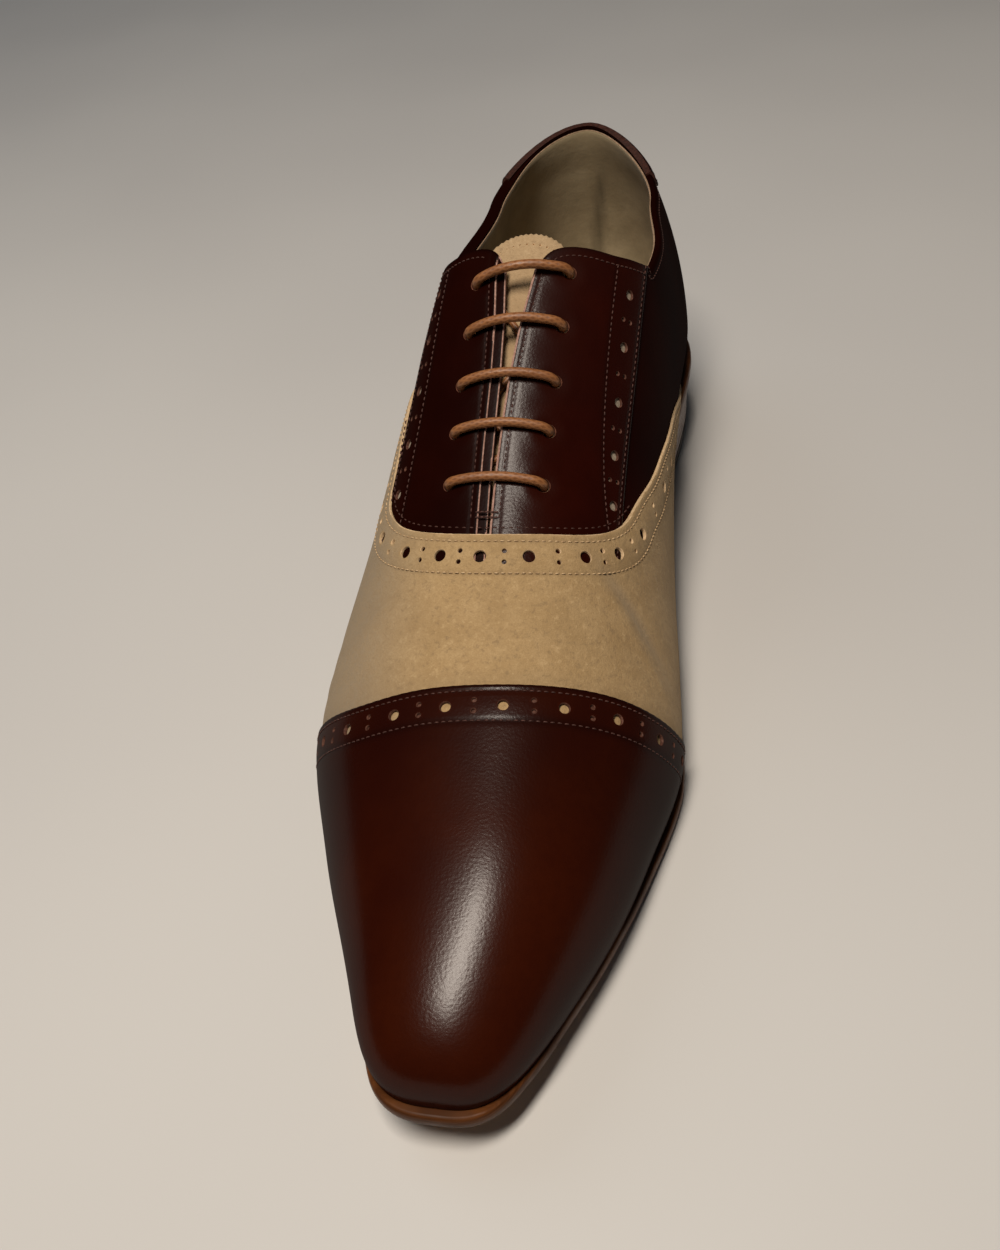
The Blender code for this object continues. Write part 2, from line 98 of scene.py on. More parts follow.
def cubic(rows, x, col=1, flat=False):
    """Natural cubic through a table column; level at its first row when asked."""
    xs, ys = rows[:, 0], rows[:, col]
    n = len(xs)
    h = np.diff(xs)
    a = np.zeros((n, n))
    r = np.zeros(n)
    a[0, 0] = a[-1, -1] = 1.0
    if flat:
        a[0, 0], a[0, 1], r[0] = 2 * h[0], h[0], 6 * (ys[1] - ys[0]) / h[0]
    for i in range(1, n - 1):
        a[i, i - 1:i + 2] = h[i - 1], 2 * (h[i - 1] + h[i]), h[i]
        r[i] = 6 * ((ys[i + 1] - ys[i]) / h[i] - (ys[i] - ys[i - 1]) / h[i - 1])
    m = np.linalg.solve(a, r)
    x = np.asarray(x, float)
    k = np.clip(np.searchsorted(xs, x) - 1, 0, n - 2)
    t, u, hk = x - xs[k], xs[k + 1] - x, h[k]
    return (m[k] * u ** 3 + m[k + 1] * t ** 3) / (6 * hk) + (ys[k] / hk - m[k] * hk / 6) * u \
        + (ys[k + 1] / hk - m[k + 1] * hk / 6) * t


def last(name, s):
    return cubic(LAST, np.clip(s, S_HEEL, LENGTH), LAST_COLS.index(name), True)


def feather(s):
    return np.maximum(last("feather", s), FLAT)


def closing(s, p):
    k = np.clip((np.asarray(s, float) - S_TOE) / (LENGTH - S_TOE), 0, 1)
    return np.maximum(1 - k ** p, 0) ** (1 / p)


def flank(s, v, side):
    s, v = np.asarray(s, float), np.asarray(v, float)
    tag = "med" if side == MED else "lat"
    full, top = last("side_" + tag, s), last("top_" + tag, s)
    zf, xr = feather(s), last("ridge_x", s)
    w = (side * last(tag, s) - side * xr) * closing(s, PLAN_P)
    h = (last("ridge_z", s) - zf) * closing(s, FRONT_Q)
    u = 1 - v
    out = w * (u ** 3 + 3 * u * u * v + 3 * u * v * v * top)
    up = h * (3 * u * u * v * full + 3 * u * v * v + v ** 3)
    reach = np.minimum(TUCK_Z, 0.6 * h + 1e-6)
    out = out - last("tuck", s) * closing(s, PLAN_P) * np.clip(1 - up / reach, 0, 1) ** 2
    return np.stack(np.broadcast_arrays(xr + side * out, s, zf + up), -1)


def side_skin(u, v, side):
    p = flank(np.maximum(u, S_HEEL), v, side)
    b = u < S_HEEL                               # round the back
    if b.any():
        q = p[b]
        th = u[b] / S_HEEL * math.pi / 2
        up = np.clip(q[:, 2] - float(feather(S_HEEL)), 0, 84)
        inset, mid = cubic(BACK, up, 1), cubic(BACK, up, 2)
        e = 2 / (HEEL_M + (HEEL_M_TOP - HEEL_M) * np.clip((up - 20) / 50, 0, 1))
        p[b, 0] = mid + (q[:, 0] - mid) * np.sin(th) ** e
        p[b, 1] = S_HEEL - (S_HEEL - inset) * np.maximum(np.cos(th), 0) ** e
    return p


def skin(u, c):
    """Point of the last. u: station, or the turn round the back under S_HEEL (below 0 it is past the back seam)."""
    u, c = np.broadcast_arrays(np.asarray(u, float), np.asarray(c, float))
    c = np.where(u < 0, -c, c)
    u = np.abs(u)
    v = 1 - np.abs(c)
    out = np.empty(u.shape + (3,))
    for side, mine in ((LAT, c < 0), (MED, c >= 0)):
        if mine.any():
            out[mine] = side_skin(u[mine], v[mine], side)
    return out


def tangents(u, c):
    u, c = np.broadcast_arrays(np.asarray(u, float), np.asarray(c, float))
    hi = np.minimum(u + 0.3, LENGTH - 0.002)
    lo = np.minimum(u - 0.3, hi - 0.004)
    pu = (skin(hi, c) - skin(lo, c)) / (hi - lo)[..., None]
    pc = (skin(u, c + 0.003) - skin(u, c - 0.003)) / 0.006
    n = np.cross(pc, pu)
    n = n / np.maximum(np.linalg.norm(n, axis=-1, keepdims=True), 1e-12)
    return pu, pc, n


def normal(u, c):
    return tangents(u, c)[2]


def lift(u, c, off):
    off = np.asarray(off, float)
    return skin(u, c) + normal(u, c) * off[..., None]


def c_at(s, x_off):
    """Place across the last, x_off from its ridge at station s."""
    s, x_off = np.broadcast_arrays(np.asarray(s, float), np.asarray(x_off, float))
    lo, hi = np.full(s.shape, -1.0), np.full(s.shape, 1.0)
    goal = x_off + last("ridge_x", s)
    lo = np.where(x_off >= 0, 0.0, -1.0)
    hi = np.where(x_off >= 0, 1.0, 0.0)
    for _ in range(30):
        mid = (lo + hi) / 2
        less = skin(s, mid)[..., 0] < goal
        lo = np.where(less, mid, lo)
        hi = np.where(less, hi, mid)
    return (lo + hi) / 2


def v_at_height(u, z, side):
    """Place up the wall where it reaches a height."""
    lo, hi = np.zeros(np.shape(u)), np.ones(np.shape(u))
    for _ in range(34):
        mid = (lo + hi) / 2
        less = flank(np.maximum(u, S_HEEL), mid, side)[..., 2] < z
        lo = np.where(less, mid, lo)
        hi = np.where(less, hi, mid)
    return (lo + hi) / 2


def top_v(u, side, back=0.0):
    """Upper limit of the wall: collar, facing edge, then the slit (set back by some millimetres)."""
    u = np.asarray(u, float)
    s = np.where(u < S_HEEL, S_HEEL - (S_HEEL - 8.0) * np.maximum(np.cos(np.clip(u / S_HEEL, 0, 1) * math.pi / 2), 0) ** (2 / HEEL_M_TOP), u)
    collar = v_at_height(u, cubic(TOPLINE, np.minimum(s, 95.0)), side)
    face = cubic(FACING, np.clip(s, 95, 116))
    half = np.interp(s, SLIT[:, 0], SLIT[:, 1])
    slit = 1 - np.abs(c_at(np.clip(s, 100, 250), side * (half + back)))
    return np.where(s <= 95, collar, np.where(s < 116, np.minimum(face, slit), slit))


# ---------------------------------------------------------------- curves on the last
def arc(u, c):
    p = skin(u, c)
    return np.concatenate([[0.0], np.cumsum(np.linalg.norm(np.diff(p, axis=0), axis=1))])


def even(u, c, n):
    """The same curve with n points at even lengths."""
    a = arc(u, c)
    t = np.linspace(0, a[-1], n)
    return np.interp(t, a, u), np.interp(t, a, c)


def at(u, c, lengths):
    a = arc(u, c)
    return np.interp(lengths, a, u), np.interp(lengths, a, c)


def beside(u, c, dist):
    """The curve moved sideways on the surface: + is toward the toe for a curve that runs from outer to inner side."""
    steps = max(1, int(math.ceil(abs(dist) / 0.8)))
    for _ in range(steps):
        pu, pc, n = tangents(u, c)
        t = np.gradient(skin(u, c), axis=0)
        t /= np.linalg.norm(t, axis=1, keepdims=True)
        b = np.cross(n, t) * (dist / steps)
        g11, g12, g22 = (pu * pu).sum(1), (pu * pc).sum(1), (pc * pc).sum(1)
        r1, r2 = (pu * b).sum(1), (pc * b).sum(1)
        det = g11 * g22 - g12 * g12
        u = u + (g22 * r1 - g12 * r2) / det
        c = c + (g11 * r2 - g12 * r1) / det
    return u, c


def trim(u, c):
    """Part of a curve between the two feather edges; a short end is carried on to the edge."""
    for _ in range(2):
        sgn = -1.0 if c[0] < c[-1] else 1.0
        if sgn * c[0] >= 1.0:
            k = 0
            while sgn * c[k + 1] >= 1.0:
                k += 1
            t = (sgn - c[k]) / (c[k + 1] - c[k])
            u = np.concatenate([[u[k] + t * (u[k + 1] - u[k])], u[k + 1:]])
            c = np.concatenate([[sgn], c[k + 1:]])
        else:
            t = (sgn - c[0]) / (c[4] - c[0])
            u = np.concatenate([[u[0] + t * (u[4] - u[0])], u])
            c = np.concatenate([[sgn], c])
        u, c = u[::-1], c[::-1]
    return u, c


def rows_from(u, c, dists, n):
    """Grid rows at set distances from a seam that runs from one feather edge to the other."""
    us, cs, gone = [], [], 0.0
    for d in dists:
        u, c = beside(u, c, d - gone)
        gone = d
        eu, ec = even(*trim(u, c), n)
        us.append(eu)
        cs.append(ec)
    return np.array(us), np.array(cs)


def dist_to(p, curve):
    """Least distance from grid points to a dense curve."""
    q = p.reshape(-1, 3)
    out = np.empty(len(q))
    for k in range(0, len(q), 4000):
        out[k:k + 4000] = np.sqrt(((q[k:k + 4000, None, :] - curve[None]) ** 2).sum(-1).min(1))
    return out.reshape(p.shape[:-1])


def graded(length, step, near=(0.0, 0.1, 0.25, 0.5, 0.9), both=True):
    """Places along a length in 0..1, close together at its ends."""
    n = [x for x in near]
    far = [length - x for x in reversed(near)] if both else [length]
    inner = np.linspace(n[-1], far[0], max(3, int(round((far[0] - n[-1]) / step)) + 1))[1:-1]
    return np.array(n + list(inner) + far) / length


def smooth(x, a, b):
    t = np.clip((np.asarray(x, float) - a) / (b - a), 0, 1)
    return t * t * (3 - 2 * t)


def drop(d, depth=0.3, reach=0.55):
    """Rounded fall at a cut edge."""
    return depth * np.clip(1 - d / reach, 0, 1) ** 2


def groove(d, centre, depth=0.14, width=0.55):
    return depth * np.exp(-((d - centre) / width) ** 2)


# ---------------------------------------------------------------- materials
class Nodes:
    """Short hand for a procedural material."""

    def __init__(self, name):
        self.m = bpy.data.materials.new(name)
        self.m.use_nodes = True
        self.t = self.m.node_tree
        self.b = self.t.nodes["Principled BSDF"]
        self.co = self.t.nodes.new("ShaderNodeTexCoord").outputs["Object"]

    def put(self, **values):
        for k, v in values.items():
            s = self.b.inputs[k.replace("_", " ")]
            s.default_value = (*v, 1.0) if isinstance(v, tuple) and len(v) == 3 else v

    def link(self, a, b):
        self.t.links.new(a, b)

    def scaled(self, xyz):
        n = self.t.nodes.new("ShaderNodeMapping")
        n.inputs["Scale"].default_value = xyz
        self.link(self.co, n.inputs["Vector"])
        return n.outputs["Vector"]

    def noise(self, scale, detail=3.0, rough=0.55, vec=None, lac=2.0):
        n = self.t.nodes.new("ShaderNodeTexNoise")
        n.inputs["Scale"].default_value = scale
        n.inputs["Detail"].default_value = detail
        n.inputs["Roughness"].default_value = rough
        n.inputs["Lacunarity"].default_value = lac
        self.link(vec or self.co, n.inputs["Vector"])
        return n.outputs["Fac"]

    def cells(self, scale, feature="F1", vec=None):
        n = self.t.nodes.new("ShaderNodeTexVoronoi")
        n.feature = feature
        n.inputs["Scale"].default_value = scale
        self.link(vec or self.co, n.inputs["Vector"])
        return n.outputs["Distance"]

    def math(self, op, a, b=None, clamp=False):
        n = self.t.nodes.new("ShaderNodeMath")
        n.operation = op
        n.use_clamp = clamp
        for i, x in enumerate((a, b)):
            if x is None:
                continue
            if isinstance(x, (int, float)):
                n.inputs[i].default_value = x
            else:
                self.link(x, n.inputs[i])
        return n.outputs[0]

    def span(self, x, a, b, lo=0.0, hi=1.0):
        n = self.t.nodes.new("ShaderNodeMapRange")
        n.interpolation_type = "SMOOTHSTEP"
        for k, v in zip(("From Min", "From Max", "To Min", "To Max"), (a, b, lo, hi)):
            n.inputs[k].default_value = v
        self.link(x, n.inputs["Value"])
        return n.outputs["Result"]

    def mix(self, fac, a, b, mode="MIX"):
        n = self.t.nodes.new("ShaderNodeMix")
        n.data_type = "RGBA"
        n.blend_type = mode
        for s, x in ((n.inputs[0], fac), (n.inputs[6], a), (n.inputs[7], b)):
            if isinstance(x, (int, float)):
                s.default_value = x
            elif isinstance(x, tuple):
                s.default_value = (*x, 1.0)
            else:
                self.link(x, s)
        return n.outputs[2]

    def attr(self, name):
        n = self.t.nodes.new("ShaderNodeAttribute")
        n.attribute_name = name
        return n.outputs["Fac"]

    def axis(self, k):
        n = self.t.nodes.new("ShaderNodeSeparateXYZ")
        self.link(self.co, n.inputs[0])
        return n.outputs[k]

    def bump(self, height, strength, dist, below=None):
        n = self.t.nodes.new("ShaderNodeBump")
        n.inputs["Strength"].default_value = strength
        n.inputs["Distance"].default_value = dist
        self.link(height, n.inputs["Height"])
        if below is not None:
            self.link(below, n.inputs["Normal"])
        return n.outputs["Normal"]

    def done(self, colour=None, rough=None, norm=None):
        for x, k in ((colour, "Base Color"), (rough, "Roughness"), (norm, "Normal")):
            if x is not None:
                self.link(x, self.b.inputs[k])
        return self.m


def calf(name, light, deep, dark, rough=0.36, level=0.18, coat=0.10, coat_rough=0.20, coat_ior=1.45):
    """Polished calf: cloudy hand-finished tone, darker where the tone attribute says, fine grain."""
    n = Nodes(name)
    cloud = n.span(n.noise(24, 3, 0.5), 0.30, 0.72)
    col = n.mix(cloud, deep, light)
    col = n.mix(n.span(n.noise(420, 3), 0.35, 0.75, 0.0, 0.25), col, deep)
    col = n.mix(n.attr("tone"), col, dark)
    grain = n.cells(1500, "SMOOTH_F1")
    pores = n.noise(3300, 2, 0.6)
    nb = n.bump(grain, 0.22, 0.00009)
    nb = n.bump(pores, 0.26, 0.00006, nb)
    r = n.span(n.noise(60, 3, 0.5), 0.3, 0.72, rough - 0.03, rough + 0.05)
    r = n.math("ADD", r, n.math("MULTIPLY", n.attr("dull_and_shade"), 0.24))
    n.put(Specular_IOR_Level=level, Coat_Weight=coat, Coat_Roughness=coat_rough, Coat_IOR=coat_ior)
    n.link(nb, n.b.inputs["Coat Normal"])
    return n.done(col, r, nb)


def suede(name, base, pale, deep, soil, nap=0.6, sheen=0.10):
    """Napped split leather: faint brushed clouds, fibre speckle, soft sheen, and a grey painted shade where the mesh's
    attribute asks for it.
    """
    n = Nodes(name)
    cloud = n.span(n.noise(34, 4, 0.6), 0.32, 0.70)
    mottle = n.span(n.noise(150, 4, 0.62), 0.34, 0.68)
    fibre = n.noise(1900, 3, 0.7)
    speck = n.noise(620, 4, 0.7)
    col = n.mix(cloud, deep, base)
    col = n.mix(n.math("MULTIPLY", mottle, 0.38), col, pale)
    col = n.mix(n.span(fibre, 0.36, 0.66, 0.50, 0.0), col, deep)
    col = n.mix(n.span(speck, 0.30, 0.48, 0.55, 0.0), col, soil)
    col = n.mix(n.span(speck, 0.54, 0.70, 0.0, 0.55), col, pale)
    # darker where the tone attribute says: along seams and sewing, and as painted shade on the vamp's sides and down
    # the tongue
    col = n.mix(n.attr("tone"), col, soil)
    # painted shade: the suede greys where the mesh's attribute for dullness and shade is high
    col = n.mix(n.math("MULTIPLY", n.attr("dull_and_shade"), n.span(speck, 0.3, 0.7, 0.65, 1.0)), col, (0.262, 0.205, 0.142))
    nb = n.bump(fibre, nap, 0.00030)
    nb = n.bump(speck, 0.45, 0.0005, nb)
    n.put(Specular_IOR_Level=0.10, Sheen_Weight=sheen, Sheen_Roughness=0.45, Sheen_Tint=(1.0, 0.9, 0.75))
    return n.done(col, n.span(fibre, 0.3, 0.7, 0.86, 0.98), nb)


def raw_edge(name, colour, deep):
    """Cut edge of a skin."""
    n = Nodes(name)
    col = n.mix(n.span(n.noise(1400, 3), 0.35, 0.7), deep, colour)
    n.put(Specular_IOR_Level=0.25)
    return n.done(col, n.span(n.noise(900, 2), 0.3, 0.7, 0.62, 0.8), n.bump(n.noise(2600, 2), 0.4, 0.0001))


def thread(name, colour, deep):
    n = Nodes(name)
    col = n.mix(n.span(n.noise(1700, 2), 0.35, 0.68), deep, colour)
    twist = n.noise(1.0, 1, 0.5, n.scaled((4200, 4200, 4200)))
    n.put(Specular_IOR_Level=0.3)
    return n.done(col, n.span(n.noise(600, 2), 0.3, 0.7, 0.5, 0.66), n.bump(twist, 0.35, 0.0001))


def lining_skin(name, base, pale, soil, dark):
    """Lining leather, handled and a little soiled, and darker in blotches towards the bottom."""
    n = Nodes(name)
    col = n.mix(n.span(n.noise(55, 4, 0.6), 0.35, 0.66), base, pale)
    col = n.mix(n.span(n.noise(26, 5, 0.65), 0.46, 0.72, 0.0, 0.75), col, soil)
    # darker in blotches towards the bottom
    low = n.span(n.axis(2), 0.030, 0.056, 0.7, 0.0)
    col = n.mix(n.math("MULTIPLY", low, n.span(n.noise(75, 4), 0.25, 0.7)), col, dark)
    col = n.mix(n.attr("tone"), col, dark)
    nb = n.bump(n.cells(1300, "SMOOTH_F1"), 0.2, 0.00012)
    nb = n.bump(n.noise(260, 3), 0.2, 0.0006, nb)
    n.put(Specular_IOR_Level=0.25, Sheen_Weight=0.1, Sheen_Roughness=0.5)
    return n.done(col, n.span(n.noise(120, 3), 0.3, 0.7, 0.62, 0.82), nb)


CALF = calf("calf_brown", (0.026, 0.0028, 0.0006), (0.014, 0.0015, 0.0004), (0.0045, 0.0007, 0.0004), 0.28, 0.045, 0.062, 0.20, 2.0)
# painted shade: a darker copy of the facings' calf, for the quarters and the outer facing
CALF_SHADED = calf("calf_shaded", (0.016, 0.0020, 0.0006), (0.009, 0.0011, 0.0004), (0.0038, 0.0006, 0.0004), 0.44, 0.0, 0.03, 0.32, 2.0)
CALF_CAP = calf("calf_cap", (0.032, 0.0045, 0.0006), (0.019, 0.0021, 0.0004), (0.0060, 0.0009, 0.0004), 0.40, 0.0, 0.14, 0.235, 2.0)
SUEDE = suede("suede_sand", (0.403, 0.268, 0.131), (0.50, 0.352, 0.187), (0.315, 0.206, 0.098), (0.225, 0.152, 0.082))
CREAM = suede("suede_cream", (0.435, 0.305, 0.175), (0.50, 0.365, 0.22), (0.35, 0.237, 0.13), (0.26, 0.175, 0.10), 0.4, 0.1)
RAW_BROWN = raw_edge("raw_edge_brown", (0.20, 0.075, 0.048), (0.075, 0.022, 0.013))
RAW_DARK = raw_edge("raw_edge_dark", (0.050, 0.014, 0.008), (0.022, 0.006, 0.003))
RAW_LINE = raw_edge("raw_line", (0.42, 0.255, 0.205), (0.26, 0.135, 0.10))
RAW_SUEDE = raw_edge("raw_edge_suede", (0.66, 0.48, 0.29), (0.50, 0.34, 0.19))
RAW_HOLE = raw_edge("raw_hole_brown", (0.13, 0.055, 0.036), (0.05, 0.017, 0.010))
RAW_EYELET = raw_edge("raw_eyelet", (0.27, 0.115, 0.07), (0.12, 0.045, 0.026))
BACKING = raw_edge("strip_backing", (0.36, 0.30, 0.23), (0.25, 0.20, 0.15))
LINING = lining_skin("lining_beige", (0.345, 0.267, 0.157), (0.435, 0.346, 0.213), (0.235, 0.180, 0.101), (0.122, 0.094, 0.053))
LINING_EDGE = raw_edge("lining_edge", (0.34, 0.225, 0.145), (0.22, 0.14, 0.088))
SOCK = lining_skin("sock_beige", (0.30, 0.215, 0.125), (0.37, 0.275, 0.165), (0.20, 0.14, 0.075), (0.10, 0.072, 0.040))
THREAD_BROWN = thread("thread_brown", (0.085, 0.034, 0.026), (0.040, 0.015, 0.011))
THREAD_TAN = thread("thread_tan", (0.60, 0.43, 0.245), (0.34, 0.215, 0.11))


# ---------------------------------------------------------------- meshes
def world(p):
    p = np.asarray(p, float)
    return np.stack([p[..., 0] + X_MID, S_MID - p[..., 1], p[..., 2]], -1) * 0.001


def volume(v, faces):
    total = 0.0
    by_size = {}
    for f in faces:
        by_size.setdefault(len(f), []).append(f)
    for k, fs in by_size.items():
        fs = np.array(fs)
        for j in range(1, k - 1):
            total += np.einsum("ij,ij->", v[fs[:, 0]], np.cross(v[fs[:, j]], v[fs[:, j + 1]]))
    return total


def mesh_object(name, pts, faces, mats, index=None, angle=42, tone=None):
    """Object from points in millimetres, its faces turned outward."""
    v = world(pts)
    if volume(v, faces) < 0:
        faces = [f[::-1] for f in faces]
    me = bpy.data.meshes.new(name)
    me.from_pydata(v.tolist(), [], faces)
    for m in mats:
        me.materials.append(m)
    if index is not None:
        me.polygons.foreach_set("material_index", np.asarray(index, np.int32))
    if tone is not None:
        me.attributes.new("tone", "FLOAT", "POINT").data.foreach_set("value", np.asarray(tone, np.float32).ravel())
    me.shade_smooth()
    me.set_sharp_from_angle(angle=math.radians(angle))
    me.update()
    ob = bpy.data.objects.new(name, me)
    bpy.context.scene.collection.objects.link(ob)
    return ob


def shell(name, u, c, out, inn, mats, tone=None, angle=42, raw=None, dull_and_shade=None):
    """Closed thin panel: grid lifted to its outside and its inside, with a rim. mats: face, cut edge, back."""
    p, n = skin(u, c), normal(u, c)
    a, b = p + n * np.broadcast_to(out, u.shape)[..., None], p + n * np.broadcast_to(inn, u.shape)[..., None]
    return shell_points(name, a, b, mats, tone, angle, raw, dull_and_shade)


def shell_points(name, a, b, mats, tone=None, angle=42, raw=None, dull_and_shade=None):
    r, k = a.shape[:2]
    m = r * k
    i, j = np.meshgrid(np.arange(r - 1), np.arange(k - 1), indexing="ij")
    q = (i * k + j).ravel()
    outer = np.stack([q, q + k, q + k + 1, q + 1], 1)
    rim = np.array([x for x in range(k - 1)] + [x * k + k - 1 for x in range(r - 1)]
                   + [(r - 1) * k + x for x in range(k - 1, 0, -1)] + [x * k for x in range(r - 1, 0, -1)])
    nxt = np.roll(rim, -1)
    wall = np.stack([rim, nxt, nxt + m, rim + m], 1)
    faces = outer.tolist() + (outer[:, ::-1] + m).tolist() + wall.tolist()
    index = np.concatenate([np.zeros(len(outer)), np.full(len(outer), 2), np.full(len(wall), 1)])
    if raw is not None:                        # grid points on a bare cut line: faces all on it take the edge's material
        flat = np.asarray(raw).ravel()
        index[:len(outer)][flat[outer].all(1)] = 1
    t = None
    if tone is not None:
        t = np.concatenate([np.broadcast_to(tone, (r, k)).ravel()] * 2)
    ob = mesh_object(name, np.concatenate([a.reshape(-1, 3), b.reshape(-1, 3)]), faces, mats, index, angle, t)
    if dull_and_shade is not None:
        ob.data.attributes.new("dull_and_shade", "FLOAT", "POINT").data.foreach_set("value", np.tile(np.asarray(dull_and_shade, np.float32).ravel(), 2))
    return ob


def punches(name, spots, mat, sides=20):
    """Joined punch tools: spots are (u, c, radius, surface offset, depth)."""
    pts, faces = [], []
    for u, c, r, off, depth in spots:
        u, c = np.array([u]), np.array([c])
        pu, pc, n = tangents(u, c)
        p, n, e = skin(u, c)[0], n[0], pu[0] / np.linalg.norm(pu[0])
        f = np.cross(n, e)
        base = len(pts)
        lip = 0.16 if r < 1.7 else 0.30
        rings = ((-depth, r), (-0.34, r), (-0.12, r + 0.3 * lip), (0.0, r + lip), (1.2, r + lip + 0.75))
        for h, rr in rings:
            for k in range(sides):
                t = 2 * math.pi * k / sides
                pts.append(p + n * (off + h) + (e * math.cos(t) + f * math.sin(t)) * rr)
        for g in range(len(rings) - 1):
            for k in range(sides):
                x, y = base + g * sides + k, base + g * sides + (k + 1) % sides
                faces.append([x, y, y + sides, x + sides])
        faces.append([base + k for k in range(sides)][::-1])
        faces.append([base + (len(rings) - 1) * sides + k for k in range(sides)])
    pts = np.array(pts)
    v = world(pts)
    if volume(v, faces) < 0:
        faces = [f[::-1] for f in faces]
    me = bpy.data.meshes.new(name)
    me.from_pydata(v.tolist(), [], faces)
    me.materials.append(mat)
    ob = bpy.data.objects.new(name, me)
    bpy.context.scene.collection.objects.link(ob)
    return ob


def cut(ob, spots, mat, sides=20):
    """Punches holes through a panel; their walls take the raw edge's material."""
    tool = punches(ob.name + "_punch", spots, mat, sides)
    m = ob.modifiers.new("holes", "BOOLEAN")
    m.operation = "DIFFERENCE"
    m.solver = "MANIFOLD"
    m.object = tool
    try:
        m.material_mode = "TRANSFER"
    except (AttributeError, TypeError):
        pass
    dg = bpy.context.evaluated_depsgraph_get()
    me = bpy.data.meshes.new_from_object(ob.evaluated_get(dg))
    ob.modifiers.clear()
    old = ob.data
    ob.data = me
    bpy.data.meshes.remove(old)
    bpy.data.objects.remove(tool)
    me.shade_smooth()
    me.set_sharp_from_angle(angle=math.radians(42))
    return ob


class Stitches:
    """Rows of sewing gathered into one mesh."""

    def __init__(self):
        self.pts, self.faces = [], []

    def row(self, u, c, off, pitch=1.70, length=1.22, width=0.38, height=0.28, ends=0.6):
        a = arc(u, c)
        n = max(1, int(round((a[-1] - 2 * ends) / pitch)))
        mids = ends + (np.arange(n) + 0.5) * (a[-1] - 2 * ends) / n
        mu, mc = at(u, c, mids)
        if callable(off):
            off = off(mu, mc)
        off = np.broadcast_to(off, mu.shape)
        fu, fc = at(u, c, mids + 0.5)
        p, nn = skin(mu, mc), normal(mu, mc)
        d = skin(fu, fc) - p
        d -= nn * (d * nn).sum(1, keepdims=True)
        d /= np.linalg.norm(d, axis=1, keepdims=True)
        s = np.cross(nn, d)
        sides = 7
        prof = ((-0.5, 0.28, -0.20), (-0.40, 0.78, -0.04), (-0.18, 1.0, 0.07), (0.18, 1.0, 0.07), (0.40, 0.78, -0.04), (0.5, 0.28, -0.20))
        for q in range(len(mu)):
            base = len(self.pts)
            jig = 0.10 * math.sin(q * 2.399 + 1.3) * 0.5
            for t, r, h in prof:
                cpt = p[q] + nn[q] * (off[q] + h) + d[q] * t * length + s[q] * jig * t
                for k in range(sides):
                    g = 2 * math.pi * k / sides
                    self.pts.append(cpt + s[q] * math.cos(g) * width * 0.5 * r + nn[q] * math.sin(g) * height * 0.5 * r * 1.5)
            for g in range(len(prof) - 1):
                for k in range(sides):
                    x, y = base + g * sides + k, base + g * sides + (k + 1) % sides
                    self.faces.append([x, y, y + sides, x + sides])
            self.faces.append([base + k for k in range(sides)][::-1])
            self.faces.append([base + (len(prof) - 1) * sides + k for k in range(sides)])

    def make(self, name, mat):
        return mesh_object(name, np.array(self.pts), self.faces, [mat], angle=60)


PIECES = []


def keep(ob, slot, *nodes):
    PIECES.append(ob)
    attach(ob, "root")
    if nodes:
        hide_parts(*nodes)
    return ob


# ---------------------------------------------------------------- seam curves
SIGNS = (LAT, MED)


def through(rows, girth=85.0):
    """Smooth curve through (c, s) rows that may run along the shoe as well as across it."""
    t = np.concatenate([[0.0], np.cumsum(np.hypot(np.diff(rows[:, 0]) * girth, np.diff(rows[:, 1])))])
    k = np.column_stack([t, rows])
    x = np.linspace(0, t[-1], 1500)
    return cubic(k, x, 2), cubic(k, x, 1)


def vamp_s(c):
    """Station of the vamp's edge at a place across the last."""
    return np.interp(c, vamp_curve[1], vamp_curve[0])


cc = np.linspace(-1, 1, 481)
cap_curve = even(cubic(CAP_SEAM, cc), cc, 420)
vamp_curve = even(*through(VAMP_SEAM), 720)
cap_pts, vamp_pts = skin(*cap_curve), skin(*vamp_curve)
rows_sewn = {"brown": Stitches(), "tan": Stitches()}

# offsets of the layers from the last, mm
Q_OUT, Q_IN = -0.35, -1.35
F_OUT, F_IN = 0.45, -0.30
V_OUT = 0.15
L_OUT = -1.45


def vamp_out(p):
    """Outside of the vamp: it rides up over the facing and the quarter along its own edge."""
    d = dist_to(p, vamp_pts)
    s = p[..., 1]
    over_face = smooth(s, 150, 168)
    rise = (0.42 + 0.62 * over_face) * (1 - smooth(d, 5.0, 15.0))
    return V_OUT + rise, d


def cap_out(p):
    d = dist_to(p, cap_pts)
    return 0.32 + 0.72 * (1 - smooth(d, 7.0, 34.0)), d


def creases(u, c):
    """Soft walking folds across the vamp, placed one by one: (station, lean, side place, side spread, width, depth)."""
    h = np.zeros(np.shape(u))
    for s0, lean, c0, span, width, depth in (
            (196.0, 6.0, 0.62, 0.30, 3.4, 0.30), (202.5, 7.0, 0.66, 0.26, 3.0, 0.24), (189.0, 4.0, 0.60, 0.28, 3.8, 0.22),
            (199.0, 7.0, -0.62, 0.28, 3.4, 0.28), (206.0, 8.0, -0.66, 0.24, 3.0, 0.20), (192.0, 5.0, -0.58, 0.26, 3.8, 0.20),
            (186.5, -11.0, 0.55, 0.17, 3.2, 0.60), (193.5, -11.0, 0.62, 0.15, 2.4, 0.30), (191.0, -8.0, -0.42, 0.16, 3.4, 0.34),
            (200.0, 0.0, 0.10, 0.42, 5.0, 0.12), (193.0, 0.0, -0.12, 0.36, 5.0, 0.10)):
        line = s0 - lean * (np.abs(c) - abs(c0)) / 0.3
        fade = np.exp(-((c - c0) / span) ** 2)
        d = (u - line) / width
        h += depth * fade * (0.55 * np.exp(-((d - 1.5) ** 2)) - np.exp(-d * d))
    return h


